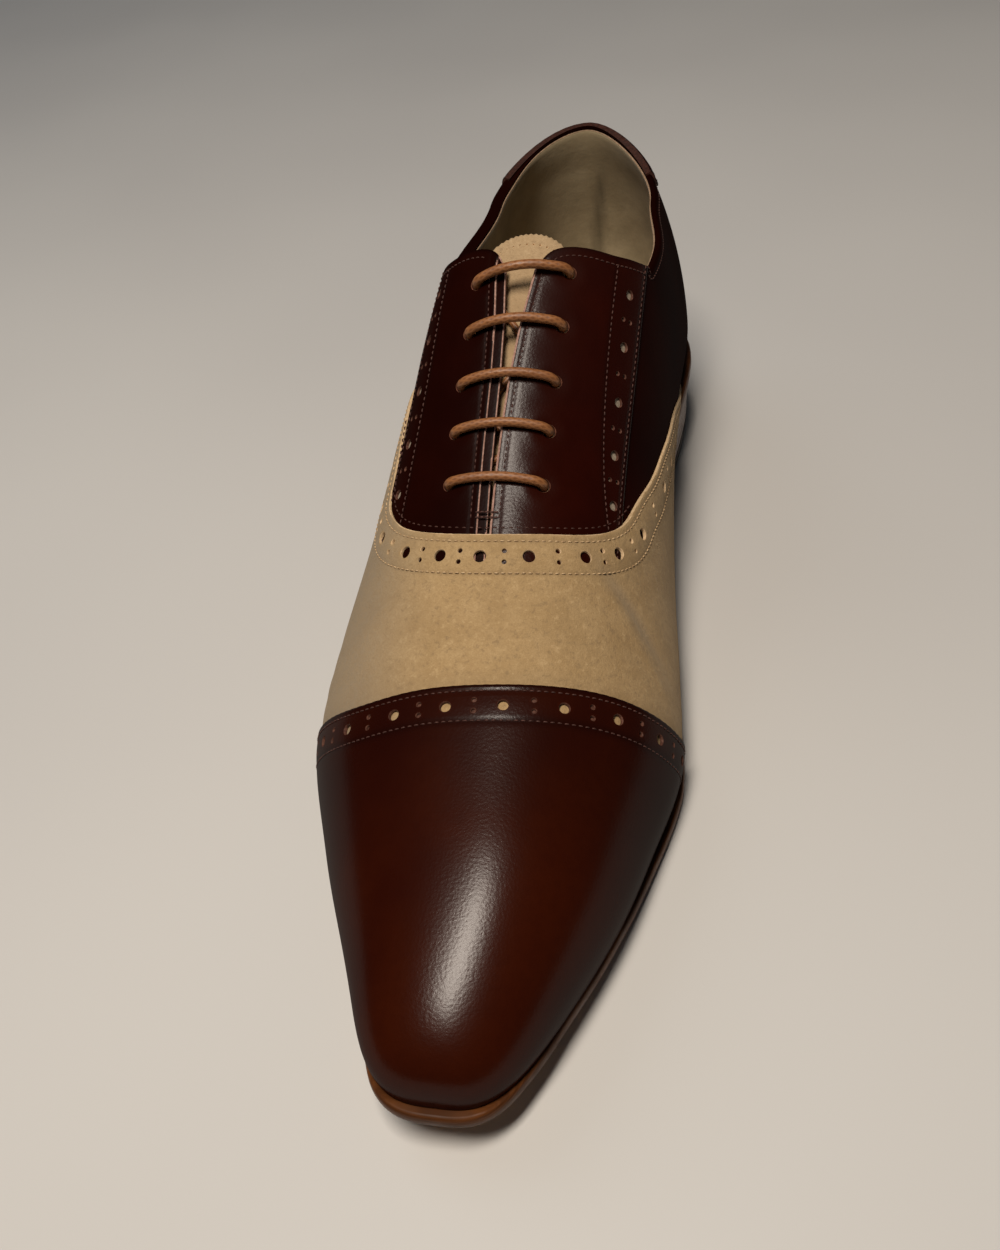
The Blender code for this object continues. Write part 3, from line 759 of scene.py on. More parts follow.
# ---------------------------------------------------------------- toe cap
def toe_cap():
    dists = np.concatenate([[0, .1, .25, .5, .9, 1.4], np.arange(1.9, 13.0, 0.75)])
    n = 181
    ru, rc = rows_from(*cap_curve, dists, n)
    u0, c0 = ru[-1], rc[-1]
    k0 = 0.80
    u_k = S_TOE + (LENGTH - S_TOE) * k0
    body = np.linspace(0, 1, 34)[1:]
    cl0 = (1 - k0 ** PLAN_P) ** (1 / PLAN_P)
    front = S_TOE + (LENGTH - S_TOE) * (1 - np.linspace(cl0, 0.02, 34)[1:] ** PLAN_P) ** (1 / PLAN_P)
    # across the front the columns keep the places of the last row
    target = np.linspace(-1, 1, n)
    us, cs = list(ru), list(rc)
    for t in body:
        us.append(u0 + (u_k - u0) * t)
        cs.append(c0 + (target - c0) * 0.0)
    for f in front:
        us.append(np.full(n, f))
        cs.append(c0)
    u, c = np.array(us), np.array(cs)
    p = skin(u, c)
    out, d = cap_out(p)
    out = out - drop(d, 0.34, 0.6) - groove(d, 1.7) - groove(d, 9.6)
    out = out + 0.10 * np.exp(-((d - 5.6) / 2.6) ** 2)
    inn = np.minimum(out - 0.75, 0.0 + 0.30 * (1 - smooth(d, 6, 9)))
    tone = 0.45 * (1 - smooth(d, 0.0, 2.2)) + 0.35 * np.exp(-((d - 9.6) / 1.2) ** 2) + 0.34 * (1 - smooth(u, 226, 268)) \
        + 0.50 * smooth(np.abs(c), 0.45, 0.95) * (1 - 0.6 * smooth(u, 280, 300)) + 0.12 * smooth(u, 298, 306)
    ob = shell("toe_cap", u, c, out, inn, [CALF_CAP, RAW_BROWN, RAW_BROWN], np.clip(tone, 0, 0.9))

    # broguing: large holes with stacked pairs between them
    line = even(*trim(*beside(*cap_curve, 5.6)), 500)
    a_line = arc(*line)
    spots = []
    off = cap_out(skin(*line))[0]
    bigs = np.interp(CAP_HOLES, line[1], a_line)
    pairs = [beside(*line, q) for q in (-1.45, 1.45)]
    for a in bigs:
        bu, bc = at(*line, [a])
        spots.append((bu[0], bc[0], 1.28, float(np.interp(a, a_line, off)), 1.3))
    mids = (bigs[1:] + bigs[:-1]) / 2
    for a in np.concatenate([[2 * bigs[0] - mids[0]], mids, [2 * bigs[-1] - mids[-1]]]):
        o, f = float(np.interp(a, a_line, off)), np.interp(a, a_line, np.arange(len(a_line)))
        for e in pairs:
            spots.append((float(np.interp(f, np.arange(len(a_line)), e[0])), float(np.interp(f, np.arange(len(a_line)), e[1])), 0.52, o, 0.55))
    cut(ob, spots, RAW_HOLE)
    for dd in (1.7, 9.6):
        e = trim(*beside(*cap_curve, dd))
        rows_sewn["brown"].row(*even(*e, 400), off=lambda a, b: cap_out(skin(a, b))[0] - 0.08)
    return ob


# ---------------------------------------------------------------- vamp
def vamp():
    dists = np.concatenate([[0, .1, .25, .5, .9, 1.4], np.arange(2.0, 16.0, 0.8)])
    n = 281
    ru, rc = rows_from(*vamp_curve, dists, n)
    eu, ec = even(*trim(*beside(*cap_curve, 6.5)), n)
    t = np.linspace(0, 1, 62)[1:, None]
    u = np.concatenate([ru, ru[-1] + (eu - ru[-1]) * t])
    c = np.concatenate([rc, rc[-1] + (ec - rc[-1]) * t])
    p = skin(u, c)
    out, d = vamp_out(p)
    dc = dist_to(p, cap_pts)
    under = smooth(u - cubic(CAP_SEAM, c), -1.0, 1.0)
    out = out - drop(d, 0.34, 0.6) - groove(d, 2.0, 0.16) - groove(d, 10.6, 0.16)
    out = out + 0.12 * np.exp(-((d - 6.2) / 2.8) ** 2) + creases(u, c)
    rng = np.random.default_rng(7)
    for _ in range(60):                        # the skin is never quite even
        s0, c0, w = rng.uniform(150, 222), rng.uniform(-1, 1), rng.uniform(5, 11)
        q = skin(np.array([s0]), np.array([c0]))[0]
        out = out + rng.normal(0, 0.035) * np.exp(-((p - q) ** 2).sum(-1) / w ** 2)
    # tone: darker beside the cap's edge and along the two rows of sewing; darker towards the sides, more on the outer
    # side, which is painted shade
    tone = 0.30 * (1 - smooth(dc, 0.0, 6.0)) * (1 - under) + np.where(c > 0, 0.24, 0.42) * smooth(np.abs(c), 0.45, 0.95) + 0.42 * np.exp(-((d - 2.0) / 0.5) ** 2) + 0.42 * np.exp(-((d - 10.6) / 0.5) ** 2)
    # painted shade: the suede greys on its outer side, a little at its inner edge, and in the deep fold on the inner
    # side
    fold = np.exp(-((u - 186.5 - 37.0 * (c - 0.55)) / 2.9) ** 2) * np.exp(-((c - 0.55) / 0.17) ** 2)
    ob = shell("vamp", u, c, out, out - 0.95, [SUEDE, RAW_SUEDE, RAW_SUEDE], np.clip(tone, 0, 0.8), raw=d < 0.3,
               dull_and_shade=np.clip(0.85 * smooth(-c, 0.12, 0.52) + 0.10 * smooth(c, 0.6, 0.95) + 0.66 * fold, 0, 1))

    line = even(*trim(*beside(*vamp_curve, 6.2)), 800)
    a_line = arc(*line)
    off = vamp_out(skin(*line))[0] + 0.1
    spots = []
    bigs = np.interp(THROAT_HOLES, line[1], a_line)
    bigs = np.concatenate([np.arange(bigs[0] - 14.0, 7.0, -14.0)[::-1], bigs, np.arange(bigs[-1] + 15.0, a_line[-1] - 7.0, 15.0)])
    inner, outer = beside(*line, -1.5), beside(*line, 1.5)
    for a in bigs:
        bu, bc = at(*line, [a])
        spots.append((bu[0], bc[0], 1.62, float(np.interp(a, a_line, off)), 1.6))
    for a in (bigs[1:] + bigs[:-1]) / 2:
        o = float(np.interp(a, a_line, off))
        f = float(np.interp(a, a_line, np.arange(len(a_line))))
        for e in (inner, outer):
            bu = float(np.interp(f, np.arange(len(a_line)), e[0]))
            bc = float(np.interp(f, np.arange(len(a_line)), e[1]))
            spots.append((bu, bc, 0.62, o, 1.6))
    cut(ob, spots, RAW_SUEDE)
    for dd in (2.0, 10.6):
        e = trim(*beside(*vamp_curve, dd))
        rows_sewn["tan"].row(*even(*e, 900), off=lambda a, b: vamp_out(skin(a, b))[0] - 0.06)
    return ob


# ---------------------------------------------------------------- quarters, facings, back strap
def top_curve(side, end, back=0.0, n=900):
    """Upper edge of the wall from the back seam to a station."""
    u = np.linspace(0, end, n)
    u = np.sort(np.concatenate([u, np.linspace(100, 117, 300)]))
    return u, side * (1 - top_v(u, side, back))


TOPS = {s: top_curve(s, 190.0) for s in SIGNS}


def eyelet_spots(depth=4.0, radius=1.6):
    out = []
    for lat_s, med_s, _ in BARS:
        for s, x in ((lat_s, -EYELET_LAT), (med_s, EYELET_MED)):
            out.append((s, float(c_at(np.array([s]), np.array([x]))[0]), radius, F_OUT, depth))
    return out


def wall_grid(n_along, v_grades, end, under):
    """Grid over both quarters, outer front to inner front round the back: columns from the seam or feather edge up to the top."""
    halves = {}
    for side in SIGNS:
        within = TOPS[side][0] <= end
        tu, tc = even(*[x[within] for x in TOPS[side]], n_along)
        su, sc = beside(*vamp_curve, under)
        m = (sc * side > 0.03) & (sc * side <= 1.0)
        su, sc = su[m], sc[m]
        order = np.argsort(-sc * side)
        su, sc = su[order], sc[order]
        fu = np.linspace(0, su[0], 260)[:-1]
        bu, bc = even(np.concatenate([fu, su]), np.concatenate([np.full(len(fu), side * 1.0), sc]), n_along)
        halves[side] = (tu, tc, bu, bc)
    g = np.asarray(v_grades)[:, None]
    cols = []
    for side in SIGNS:
        tu, tc, bu, bc = halves[side]
        u = bu + (tu - bu) * g
        c = bc + (tc - bc) * g
        if side == LAT:                       # past the back seam: the same place written from the inner side
            u, c = -u[:, ::-1], -c[:, ::-1]
            u, c = u[:, :-1], c[:, :-1]
        cols.append((u, c))
    return np.concatenate([x[0] for x in cols], 1), np.concatenate([x[1] for x in cols], 1)


def collar(p):
    """The collar's edge is turned over and padded, more so on the outer side."""
    return (0.95 + 1.7 * (1 - smooth(p[..., 0], -12, 2)) * smooth(p[..., 1], 12, 34)) * (1 - smooth(p[..., 1], 96, 112))


def collar_rim(ob, tops):
    """The turned collar edge is brown leather, inside too; the cut edge shows only down the slit."""
    me = ob.data
    mid = np.empty(len(me.polygons) * 3)
    me.polygons.foreach_get("center", mid)
    k = np.empty(len(me.polygons), np.int32)
    me.polygons.foreach_get("material_index", k)
    mid = mid.reshape(-1, 3) * 1000
    station = S_MID - mid[:, 1]
    k[(k == 1) & (station < 113.5)] = 0
    inside = np.flatnonzero((k == 2) & (station < 113.5))
    q = np.stack([mid[inside, 0] - X_MID, station[inside], mid[inside, 2]], 1)
    k[inside[dist_to(q, tops[::2]) < 5.2]] = 0
    me.polygons.foreach_set("material_index", k)


def quarters():
    g = graded(70, 1.25)
    u, c = wall_grid(190, g, 190.0, 10.0)
    p = skin(u, c)
    tops = np.concatenate([skin(*TOPS[s]) for s in SIGNS])
    d = dist_to(p, tops[::2])
    slit = smooth(p[..., 1], 108, 114)
    out = Q_OUT - (drop(d, 0.62, 1.15) + groove(d, 2.5, 0.14)) * (1 - slit) - 0.12 * drop(d, 1.0, 0.5) * slit
    out = out + 0.10 * np.exp(-((d - 1.3) / 0.9) ** 2) * (1 - slit)
    inn = Q_IN - collar(p) * (1 - smooth(d, 3.0, 8.0))
    tone = 0.5 * (1 - smooth(d, 0, 3.0)) + 0.4 * smooth(np.abs(c), 0.9, 1.0)
    # the quarters take the darker calf copy, which is painted shade
    ob = shell("quarters", u, c, out, inn, [CALF_SHADED, RAW_LINE, LINING], np.clip(tone, 0, 0.8), raw=(d < 0.45) & (slit > 0.5))
    collar_rim(ob, tops)
    cut(ob, eyelet_spots(3.0, 1.85), RAW_BROWN, 24)
    for side in SIGNS:
        tu, tc = TOPS[side]
        m = (tu < 96.5)
        eu, ec = even(tu[m], tc[m], 300)
        eu, ec = beside(eu, ec, 2.5 if side == LAT else -2.5)
        back = eu > 34.0                        # under the heel tab there is none
        rows_sewn["brown"].row(eu[back], ec[back], off=Q_OUT - 0.10, ends=0.4)
    return ob


def facing_edges(side):
    back = 2.3 if side == LAT else 0.3
    se = STRIP_EDGE[side]
    s = np.linspace(94, 116, 600)
    v_top = top_v(s, side, back)
    v_edge = cubic(se, s)
    k = int(np.argmax(v_top > v_edge))
    s_a = s[k]
    # top edge, outer end to the slit
    half = 1 - np.abs(c_at(s, np.full(s.shape, side * (4.3 + back))))
    end = int(np.argmax(v_top >= half - 1e-4)) or len(s) - 1
    top = (s[k:end + 1], side * (1 - v_top[k:end + 1]))
    s2 = np.linspace(s[end], 191, 500)
    slit = (s2, side * (1 - top_v(s2, side, back)))
    low = beside(*vamp_curve, 9.0)
    s3 = np.linspace(s_a, 178, 500)
    edge = (s3, side * (1 - cubic(se, s3)))
    # where the lower limit meets the strip's edge and the slit
    m = low[1] * side > 0
    lu, lc = low[0][m], low[1][m] * side
    o = np.argsort(lc)
    lu, lc = lu[o], lc[o]
    gap = np.interp(edge[1] * side, lc, lu) - edge[0]
    ke = int(np.argmax(gap < 0)) or len(gap) - 1
    edge = (edge[0][:ke + 1], edge[1][:ke + 1])
    gap = np.interp(slit[1] * side, lc, lu) - slit[0]
    ks = int(np.argmax(gap < 0)) or len(gap) - 1
    slit = (slit[0][:ks + 1], slit[1][:ks + 1])
    a, b = edge[1][-1] * side, slit[1][-1] * side
    t = np.linspace(a, b, 200)
    bottom = (np.interp(t, lc, lu), t * side)
    return top, slit, edge, bottom


FACE = {s: facing_edges(s) for s in SIGNS}


def facing_dist(p, side):
    top, slit, edge, _ = FACE[side]
    return [dist_to(p, skin(*x)) for x in (top, slit, edge)]


def facing(side):
    top, slit, edge, bottom = FACE[side]
    ga, gb = graded(78, 0.72), graded(52, 0.62)
    na, nb = len(ga), len(gb)

    def side_of(curve, g):
        a = arc(*curve)
        return np.stack(at(*curve, a[-1] * g), -1)
    e, s, t, b = side_of(edge, ga), side_of(slit, ga), side_of(top, gb), side_of(bottom, gb)
    A, B = ga[:, None, None], gb[None, :, None]
    g = (1 - B) * e[:, None] + B * s[:, None] + (1 - A) * t[None] + A * b[None] \
        - ((1 - A) * (1 - B) * t[0] + (1 - A) * B * t[-1] + A * (1 - B) * b[0] + A * B * b[-1])
    u, c = g[..., 0], g[..., 1]
    p = skin(u, c)
    dt, ds, de = facing_dist(p, side)
    d = np.minimum(np.minimum(dt, ds), de)
    v = 1 - np.abs(c)
    d_line = dist_to(p, skin(*strip_line(side)))
    out = F_OUT - drop(np.minimum(dt, de), 0.32, 0.6) - drop(ds, 0.16, 0.4) - groove(de, 1.5) - groove(dt, 2.6) - groove(ds, 2.0, 0.10)
    out = out - 0.15 * np.exp(-(d_line / 0.55) ** 2)
    spots = eyelet_spots(3.4, 1.85)
    mine = [q for q in spots if q[1] * side > 0]
    for q in mine:                                 # the lace draws the leather down at each hole
        e0 = skin(np.array([q[0]]), np.array([q[1]]))[0]
        r = np.linalg.norm(p - e0, axis=-1)
        out = out - 0.26 * np.exp(-(r / 2.6) ** 2) + 0.10 * np.exp(-((r - 4.6) / 1.8) ** 2)
    rng = np.random.default_rng(11 + side)
    for _ in range(40):
        k = rng.integers(0, u.size)
        q = p.reshape(-1, 3)[k]
        out = out + rng.normal(0, 0.04) * np.exp(-((p - q) ** 2).sum(-1) / rng.uniform(3, 8) ** 2)
    tone = 0.6 * (1 - smooth(d, 0, 1.6)) + 0.35 * np.exp(-((de - 1.5) / 1.0) ** 2) + 0.3 * np.exp(-(d_line / 1.0) ** 2)
    # painted shade: the outer facing is darker all over and takes the darker copy of the calf
    if side == LAT:
        tone = tone + 0.25
    ob = shell("facing_" + ("inner" if side == MED else "outer"), u, c, out, F_IN, [CALF if side == MED else CALF_SHADED, RAW_LINE, RAW_BROWN], np.clip(tone, 0, 0.85),
               raw=(ds < 0.45) & (dt > 1.5), dull_and_shade=np.clip(1.15 - smooth(u, 128, 164), 0, 1) if side == MED else np.full(u.shape, 0.8))

    # strip of broguing between the two rows of sewing
    mu, mc = strip_mid(side)
    a = arc(mu, mc)
    holes = []
    pairs = [beside(mu, mc, q) for q in (-1.35, 1.35)]
    for s0 in STRIP_HOLES:
        if mu[0] + 1.5 < s0 < mu[-1] - 1.5:
            holes.append((s0, float(np.interp(s0, mu, mc)), 1.30, F_OUT, 1.5))
    for s0, s1 in zip(STRIP_HOLES[:-1], STRIP_HOLES[1:]):
        f = np.interp((s0 + s1) / 2, mu, np.arange(len(mu)))
        if f < len(mu) - 8:
            for e in pairs:
                holes.append((float(np.interp(f, np.arange(len(mu)), e[0])), float(np.interp(f, np.arange(len(mu)), e[1])), 0.55, F_OUT, 1.5))
    cut(ob, mine, RAW_EYELET, 24)
    cut(ob, holes, RAW_HOLE)

    sew = rows_sewn["brown"]
    sgn = 1.0 if side == LAT else -1.0            # sideways into the panel from each edge
    e_u, e_c = even(*edge, 300)
    sew.row(*beside(e_u, e_c, -1.5 * sgn), off=F_OUT - 0.10)
    sew.row(*even(*strip_line(side), 300), off=F_OUT - 0.12)
    t_u, t_c = even(*top, 200)
    q = beside(t_u, t_c, 2.6 if side == LAT else -2.6)
    sew.row(*q, off=F_OUT - 0.10, ends=2.2)
    s_u, s_c = even(*slit, 300)
    m = s_u < 180
    q = beside(s_u[m], s_c[m], 2.0 * sgn)
    sew.row(*q, off=F_OUT - 0.10, ends=3.0)
    return ob


def strip_line(side):
    """Inner row of the brogued strip, from the facing's top edge to the vamp."""
    s = np.linspace(100, 178, 400)
    v = cubic(STRIP_LINE[side], np.clip(s, 100, 176))
    ok = v < top_v(s, side) - 0.03
    c = side * (1 - v)
    ok &= s < vamp_s(c) + 2.0
    return s[ok], c[ok]


def strip_mid(side):
    s = np.linspace(96, 178, 500)
    v = 0.5 * (cubic(STRIP_LINE[side], np.clip(s, 100, 176)) + cubic(STRIP_EDGE[side], s) + 0.012)
    ok = v < top_v(s, side) - 0.02
    c = side * (1 - v)
    ok &= s < vamp_s(c) - 1.0
    return s[ok], c[ok]


def strip_backing(side):
    """Pale backing that shows through the holes of the strip."""
    mu, mc = strip_mid(side)
    mu, mc = even(mu, mc, 60)
    rows = [beside(mu, mc, q) for q in np.linspace(-3.6, 3.6, 9)]
    u, c = np.array([r[0] for r in rows]), np.array([r[1] for r in rows])
    return shell("strip_backing_" + ("inner" if side == MED else "outer"), u, c, -0.31, -0.345, [BACKING, BACKING, BACKING])


STRAP = np.array([(0, 33.0), (.10, 32.6), (.135, 30.5), (.18, 25.5), (.24, 18.5), (.31, 13.5), (.42, 10.2), (.58, 8.8), (.8, 8.6), (1.02, 8.8)])


def strap_edge(t):
    return np.interp(t, np.linspace(0, 1.02, 400), cubic(STRAP, np.linspace(0, 1.02, 400)))


def strap_uc(t, q):
    """Back strap: t from the collar (0) to the sole (1), q across from -1 to 1."""
    w = strap_edge(t) * q
    v = np.where(w < 0, top_v(np.abs(w), LAT), top_v(np.abs(w), MED))
    return w, 1 - v * (1 - t)


def back_strap():
    t = np.concatenate([[-.012, -.0095, -.006, -.001, .006, .015], np.linspace(.026, 1.0, 76)])
    q = 2 * graded(60, 0.72) - 1
    u, c = strap_uc(t[:, None], q[None, :])
    p = skin(u, c)
    tt = np.linspace(0, 1, 500)
    left, right = strap_uc(tt, -1.0), strap_uc(tt, 1.0)
    edges = np.concatenate([skin(*left), skin(*right)])
    qq = np.linspace(-1, 1, 400)
    rim = skin(*strap_uc(np.full(400, -.012), qq))
    d, dt = dist_to(p, edges), dist_to(p, rim)
    out = F_OUT + 0.10 - drop(d, 0.32, 0.6) - drop(dt, 0.80, 1.3) - groove(d, 1.6) - groove(dt, 2.8, 0.12)
    inn = F_IN - 0.1 - 1.75 * (1 - smooth(dt, 0.5, 1.2))          # turned over the collar's edge
    tone = 0.6 * (1 - smooth(d, 0, 1.8)) + 0.4 * (1 - smooth(dt, 0, 3)) + 0.3 * np.exp(-((d - 1.6) / 1.0) ** 2)
    ob = shell("back_strap", u, c, out, inn, [CALF, RAW_DARK, CALF], np.clip(tone, 0, 0.85))
    for (eu, ec), sg in ((left, 1), (right, -1)):
        for dd in (1.6, 3.4):
            e = beside(*even(eu, ec, 300), dd * sg)
            rows_sewn["brown"].row(*e, off=F_OUT, ends=2.6)
    return ob


def lining():
    g = graded(70, 2.0) * 0.986                # its edge stops a little below the collar's
    u, c = wall_grid(120, g, 184.0, 3.0)
    p = skin(u, c)
    tops = np.concatenate([skin(*TOPS[s]) for s in SIGNS])
    d = dist_to(p, tops[::2])
    s = p[..., 1]
    pad = 0.75 * (1 - smooth(d, 4.0, 16.0)) * (1 - smooth(s, 92, 104))
    turn = collar(p) * (1 - smooth(d, 3.0, 8.0))
    top = L_OUT - turn
    inn = np.minimum(-2.35 - pad, top - 0.55)
    inn = inn + drop(np.maximum(d - 0.9, 0), 0.20, 0.7)
    for s0, z0, z1, depth in ((22.0, 52.0, 80.0, 0.5), (33.0, 58.0, 84.0, 0.35)):   # slack folds in the heel lining
        inn = inn + depth * np.exp(-((s - s0 - 0.12 * (p[..., 2] - z0)) / 2.2) ** 2) * smooth(p[..., 2], z0 - 6, z0 + 4) * (1 - smooth(p[..., 2], z1 - 6, z1)) * (p[..., 0] > 4)
    tone = 0.20 * smooth(d, 3, 30) * (0.5 + 0.5 * np.sin(u * 0.21) * np.sin(c * 23.0))
    tone = tone + 0.05 * (1 - smooth(p[..., 0], -10, 10)) * smooth(d, 5, 12) * (1 - smooth(s, 30, 70))
    tone = tone + 0.75 * np.exp(-((p[..., 0] - 6.0 - 0.12 * (p[..., 2] - 70)) / 2.2) ** 2) * (s < 30) * smooth(d, 10, 24)
    ob = shell("lining", u, c, top, inn, [BACKING, LINING_EDGE, LINING], np.clip(tone, 0, 0.8))
    cut(ob, eyelet_spots(4.2, 1.95), LINING_EDGE, 16)
    return ob


def vamp_lining():
    n = 70
    cols = np.linspace(-1, 1, n)
    start = np.maximum(vamp_s(cols) - 1.0, 120.0)
    t = np.linspace(0, 1, 40)[:, None]
    u = start + (300.0 - start) * t
    c = np.broadcast_to(cols, u.shape)
    return shell("vamp_lining", u, c, -1.55, -2.25, [LINING, LINING_EDGE, LINING])


# ---------------------------------------------------------------- tongue, lace
TONGUE_DEPTH = 4.6


def tongue():
    teeth, per = 22, 6
    cols, rows = teeth * per, 60
    j = np.arange(cols + 1)
    cx = -1 + 2 * j / cols
    zig = np.abs(((j / per) % 1.0) - 0.5) * 2.0            # pinked edge
    top = TONGUE_TOP - 0.6 + 11.0 * (1 - np.sqrt(1 - (0.97 * np.abs(cx) ** 1.15) ** 2)) + 0.34 * zig
    near = np.array([0, .3, .8, 1.6, 2.6]) / 86
    a = np.concatenate([near, np.linspace(3.8 / 86, 1, rows)])
    s = top[None] + (TONGUE_FOOT - top[None]) * a[:, None]
    half = 17.0 + 1.5 * a[:, None]
    c = c_at(s, cx[None] * half)
    n = normal(s, c)
    depth = TONGUE_DEPTH - 1.5 * (1 - smooth(s, 106, 122))
    body = skin(s, c)
    edge = (s - top[None])
    wave = 0.25 * np.sin(cx[None] * 5.0 + 0.6) * (1 - smooth(s, 108, 126)) + 0.06 * np.sin(s * 0.21 + cx[None] * 2)
    out = -depth + wave - drop(edge, 0.35, 0.9)
    inn = -depth - 1.5 + wave + drop(edge, 0.35, 0.9)
    a_pts, b_pts = body + n * out[..., None], body + n * inn[..., None]
    # painted shade: darker down the slit, where the tongue lies between the facings; darker too at its pinked edge
    tone = 0.25 * smooth(s, 112, 130) + 0.25 * (1 - smooth(edge, 0, 1.0))
    ob = shell_points("tongue_skin", a_pts, b_pts, [CREAM, RAW_SUEDE, CREAM], np.clip(tone, 0, 0.6))
    spots = []                                  # row of fine pricks along the edge
    for x in np.linspace(-0.72, 0.72, 13):
        s0 = TONGUE_TOP - 0.6 + 11.0 * (1 - math.sqrt(1 - (0.97 * abs(x) ** 1.15) ** 2)) + 3.0
        d0 = TONGUE_DEPTH - 1.5 * (1 - float(smooth(s0, 106, 122)))
        spots.append((s0, float(c_at(np.array([s0]), np.array([x * 17.0]))[0]), 0.20, -d0 + 0.1, 0.5))
    return cut(ob, spots, RAW_SUEDE, 10)


def over_points(spec):
    s, x, h = (np.array(v, float) for v in zip(*spec))
    c = c_at(s, x)
    return lift(s, c, h)


def spline(points, per=10):
    """Smooth path through points."""
    p = np.asarray(points, float)
    q = np.concatenate([[2 * p[0] - p[1]], p, [2 * p[-1] - p[-2]]])
    d = np.linalg.norm(np.diff(q, axis=0), axis=1) ** 0.5
    k = np.concatenate([[0], np.cumsum(np.maximum(d, 1e-6))])
    out = []
    for i in range(1, len(q) - 2):
        for t in np.linspace(k[i], k[i + 1], per, endpoint=False):
            a1 = (k[i] - t) / (k[i] - k[i - 1]) * q[i - 1] + (t - k[i - 1]) / (k[i] - k[i - 1]) * q[i]
            a2 = (k[i + 1] - t) / (k[i + 1] - k[i]) * q[i] + (t - k[i]) / (k[i + 1] - k[i]) * q[i + 1]
            a3 = (k[i + 2] - t) / (k[i + 2] - k[i + 1]) * q[i + 1] + (t - k[i + 1]) / (k[i + 2] - k[i + 1]) * q[i + 2]
            b1 = (k[i + 1] - t) / (k[i + 1] - k[i - 1]) * a1 + (t - k[i - 1]) / (k[i + 1] - k[i - 1]) * a2
            b2 = (k[i + 2] - t) / (k[i + 2] - k[i]) * a2 + (t - k[i]) / (k[i + 2] - k[i]) * a3
            out.append((k[i + 1] - t) / (k[i + 1] - k[i]) * b1 + (t - k[i]) / (k[i + 1] - k[i]) * b2)
    out.append(p[-1])
    return np.array(out)


def lace_material():
    n = Nodes("lace_waxed")
    uv = n.t.nodes.new("ShaderNodeUVMap")
    uv.uv_map = "cord"
    sep = n.t.nodes.new("ShaderNodeSeparateXYZ")
    n.link(uv.outputs["UV"], sep.inputs[0])
    x, y = sep.outputs[0], sep.outputs[1]
    p = n.math("SINE", n.math("ADD", n.math("MULTIPLY", x, 6 * 2 * math.pi), n.math("MULTIPLY", y, 2.6)))
    q = n.math("SINE", n.math("SUBTRACT", n.math("MULTIPLY", x, 6 * 2 * math.pi), n.math("MULTIPLY", y, 2.6)))
    braid = n.math("MAXIMUM", p, q)
    col = n.mix(n.span(braid, -0.6, 0.8), (0.175, 0.064, 0.020), (0.27, 0.108, 0.036))
    col = n.mix(n.span(n.noise(160, 3), 0.42, 0.7, 0.0, 0.5), col, (0.165, 0.060, 0.02))
    nb = n.bump(braid, 0.22, 0.00012)
    nb = n.bump(n.noise(3200, 2), 0.2, 0.00008, nb)
    n.put(Specular_IOR_Level=0.4, Coat_Weight=0.15, Coat_Roughness=0.35)
    return n.done(col, n.span(n.noise(300, 2), 0.3, 0.7, 0.42, 0.58), nb)


def tube(name, path, radius, mat, sides=14):
    """Round cord along a path; radius may vary along it."""
    p = np.asarray(path)
    r = np.broadcast_to(np.asarray(radius, float), (len(p),))
    t = np.gradient(p, axis=0)
    t /= np.linalg.norm(t, axis=1, keepdims=True)
    e = np.cross(t[0], [0, 0, 1.0])
    if np.linalg.norm(e) < 1e-3:
        e = np.cross(t[0], [1.0, 0, 0])
    e /= np.linalg.norm(e)
    pts, length = [], np.concatenate([[0], np.cumsum(np.linalg.norm(np.diff(p, axis=0), axis=1))])
    ang = np.arange(sides) * 2 * math.pi / sides
    for i in range(len(p)):
        e = e - t[i] * (e @ t[i])
        e /= np.linalg.norm(e)
        f = np.cross(t[i], e)
        pts.append(p[i] + r[i] * (np.cos(ang)[:, None] * e + np.sin(ang)[:, None] * f))
    pts = np.concatenate(pts)
    faces, uvs = [], []
    for i in range(len(p) - 1):
        for k in range(sides):
            a, b = i * sides + k, i * sides + (k + 1) % sides
            faces.append([a, b, b + sides, a + sides])
            uvs.append([(k / sides, length[i]), ((k + 1) / sides, length[i]), ((k + 1) / sides, length[i + 1]), (k / sides, length[i + 1])])
    n = len(p)
    faces.append([k for k in range(sides)][::-1])
    uvs.append([(0, 0)] * sides)
    faces.append([(n - 1) * sides + k for k in range(sides)])
    uvs.append([(0, length[-1])] * sides)
    v = world(pts)
    if volume(v, faces) < 0:
        faces = [f[::-1] for f in faces]
        uvs = [w[::-1] for w in uvs]
    me = bpy.data.meshes.new(name)
    me.from_pydata(v.tolist(), [], faces)
    me.materials.append(mat)
    layer = me.uv_layers.new(name="cord")
    layer.data.foreach_set("uv", np.array([x for w in uvs for x in w], np.float32).ravel())
    me.shade_smooth()
    me.set_sharp_from_angle(angle=math.radians(50))
    ob = bpy.data.objects.new(name, me)
    bpy.context.scene.collection.objects.link(ob)
    return ob, float(length[-1])


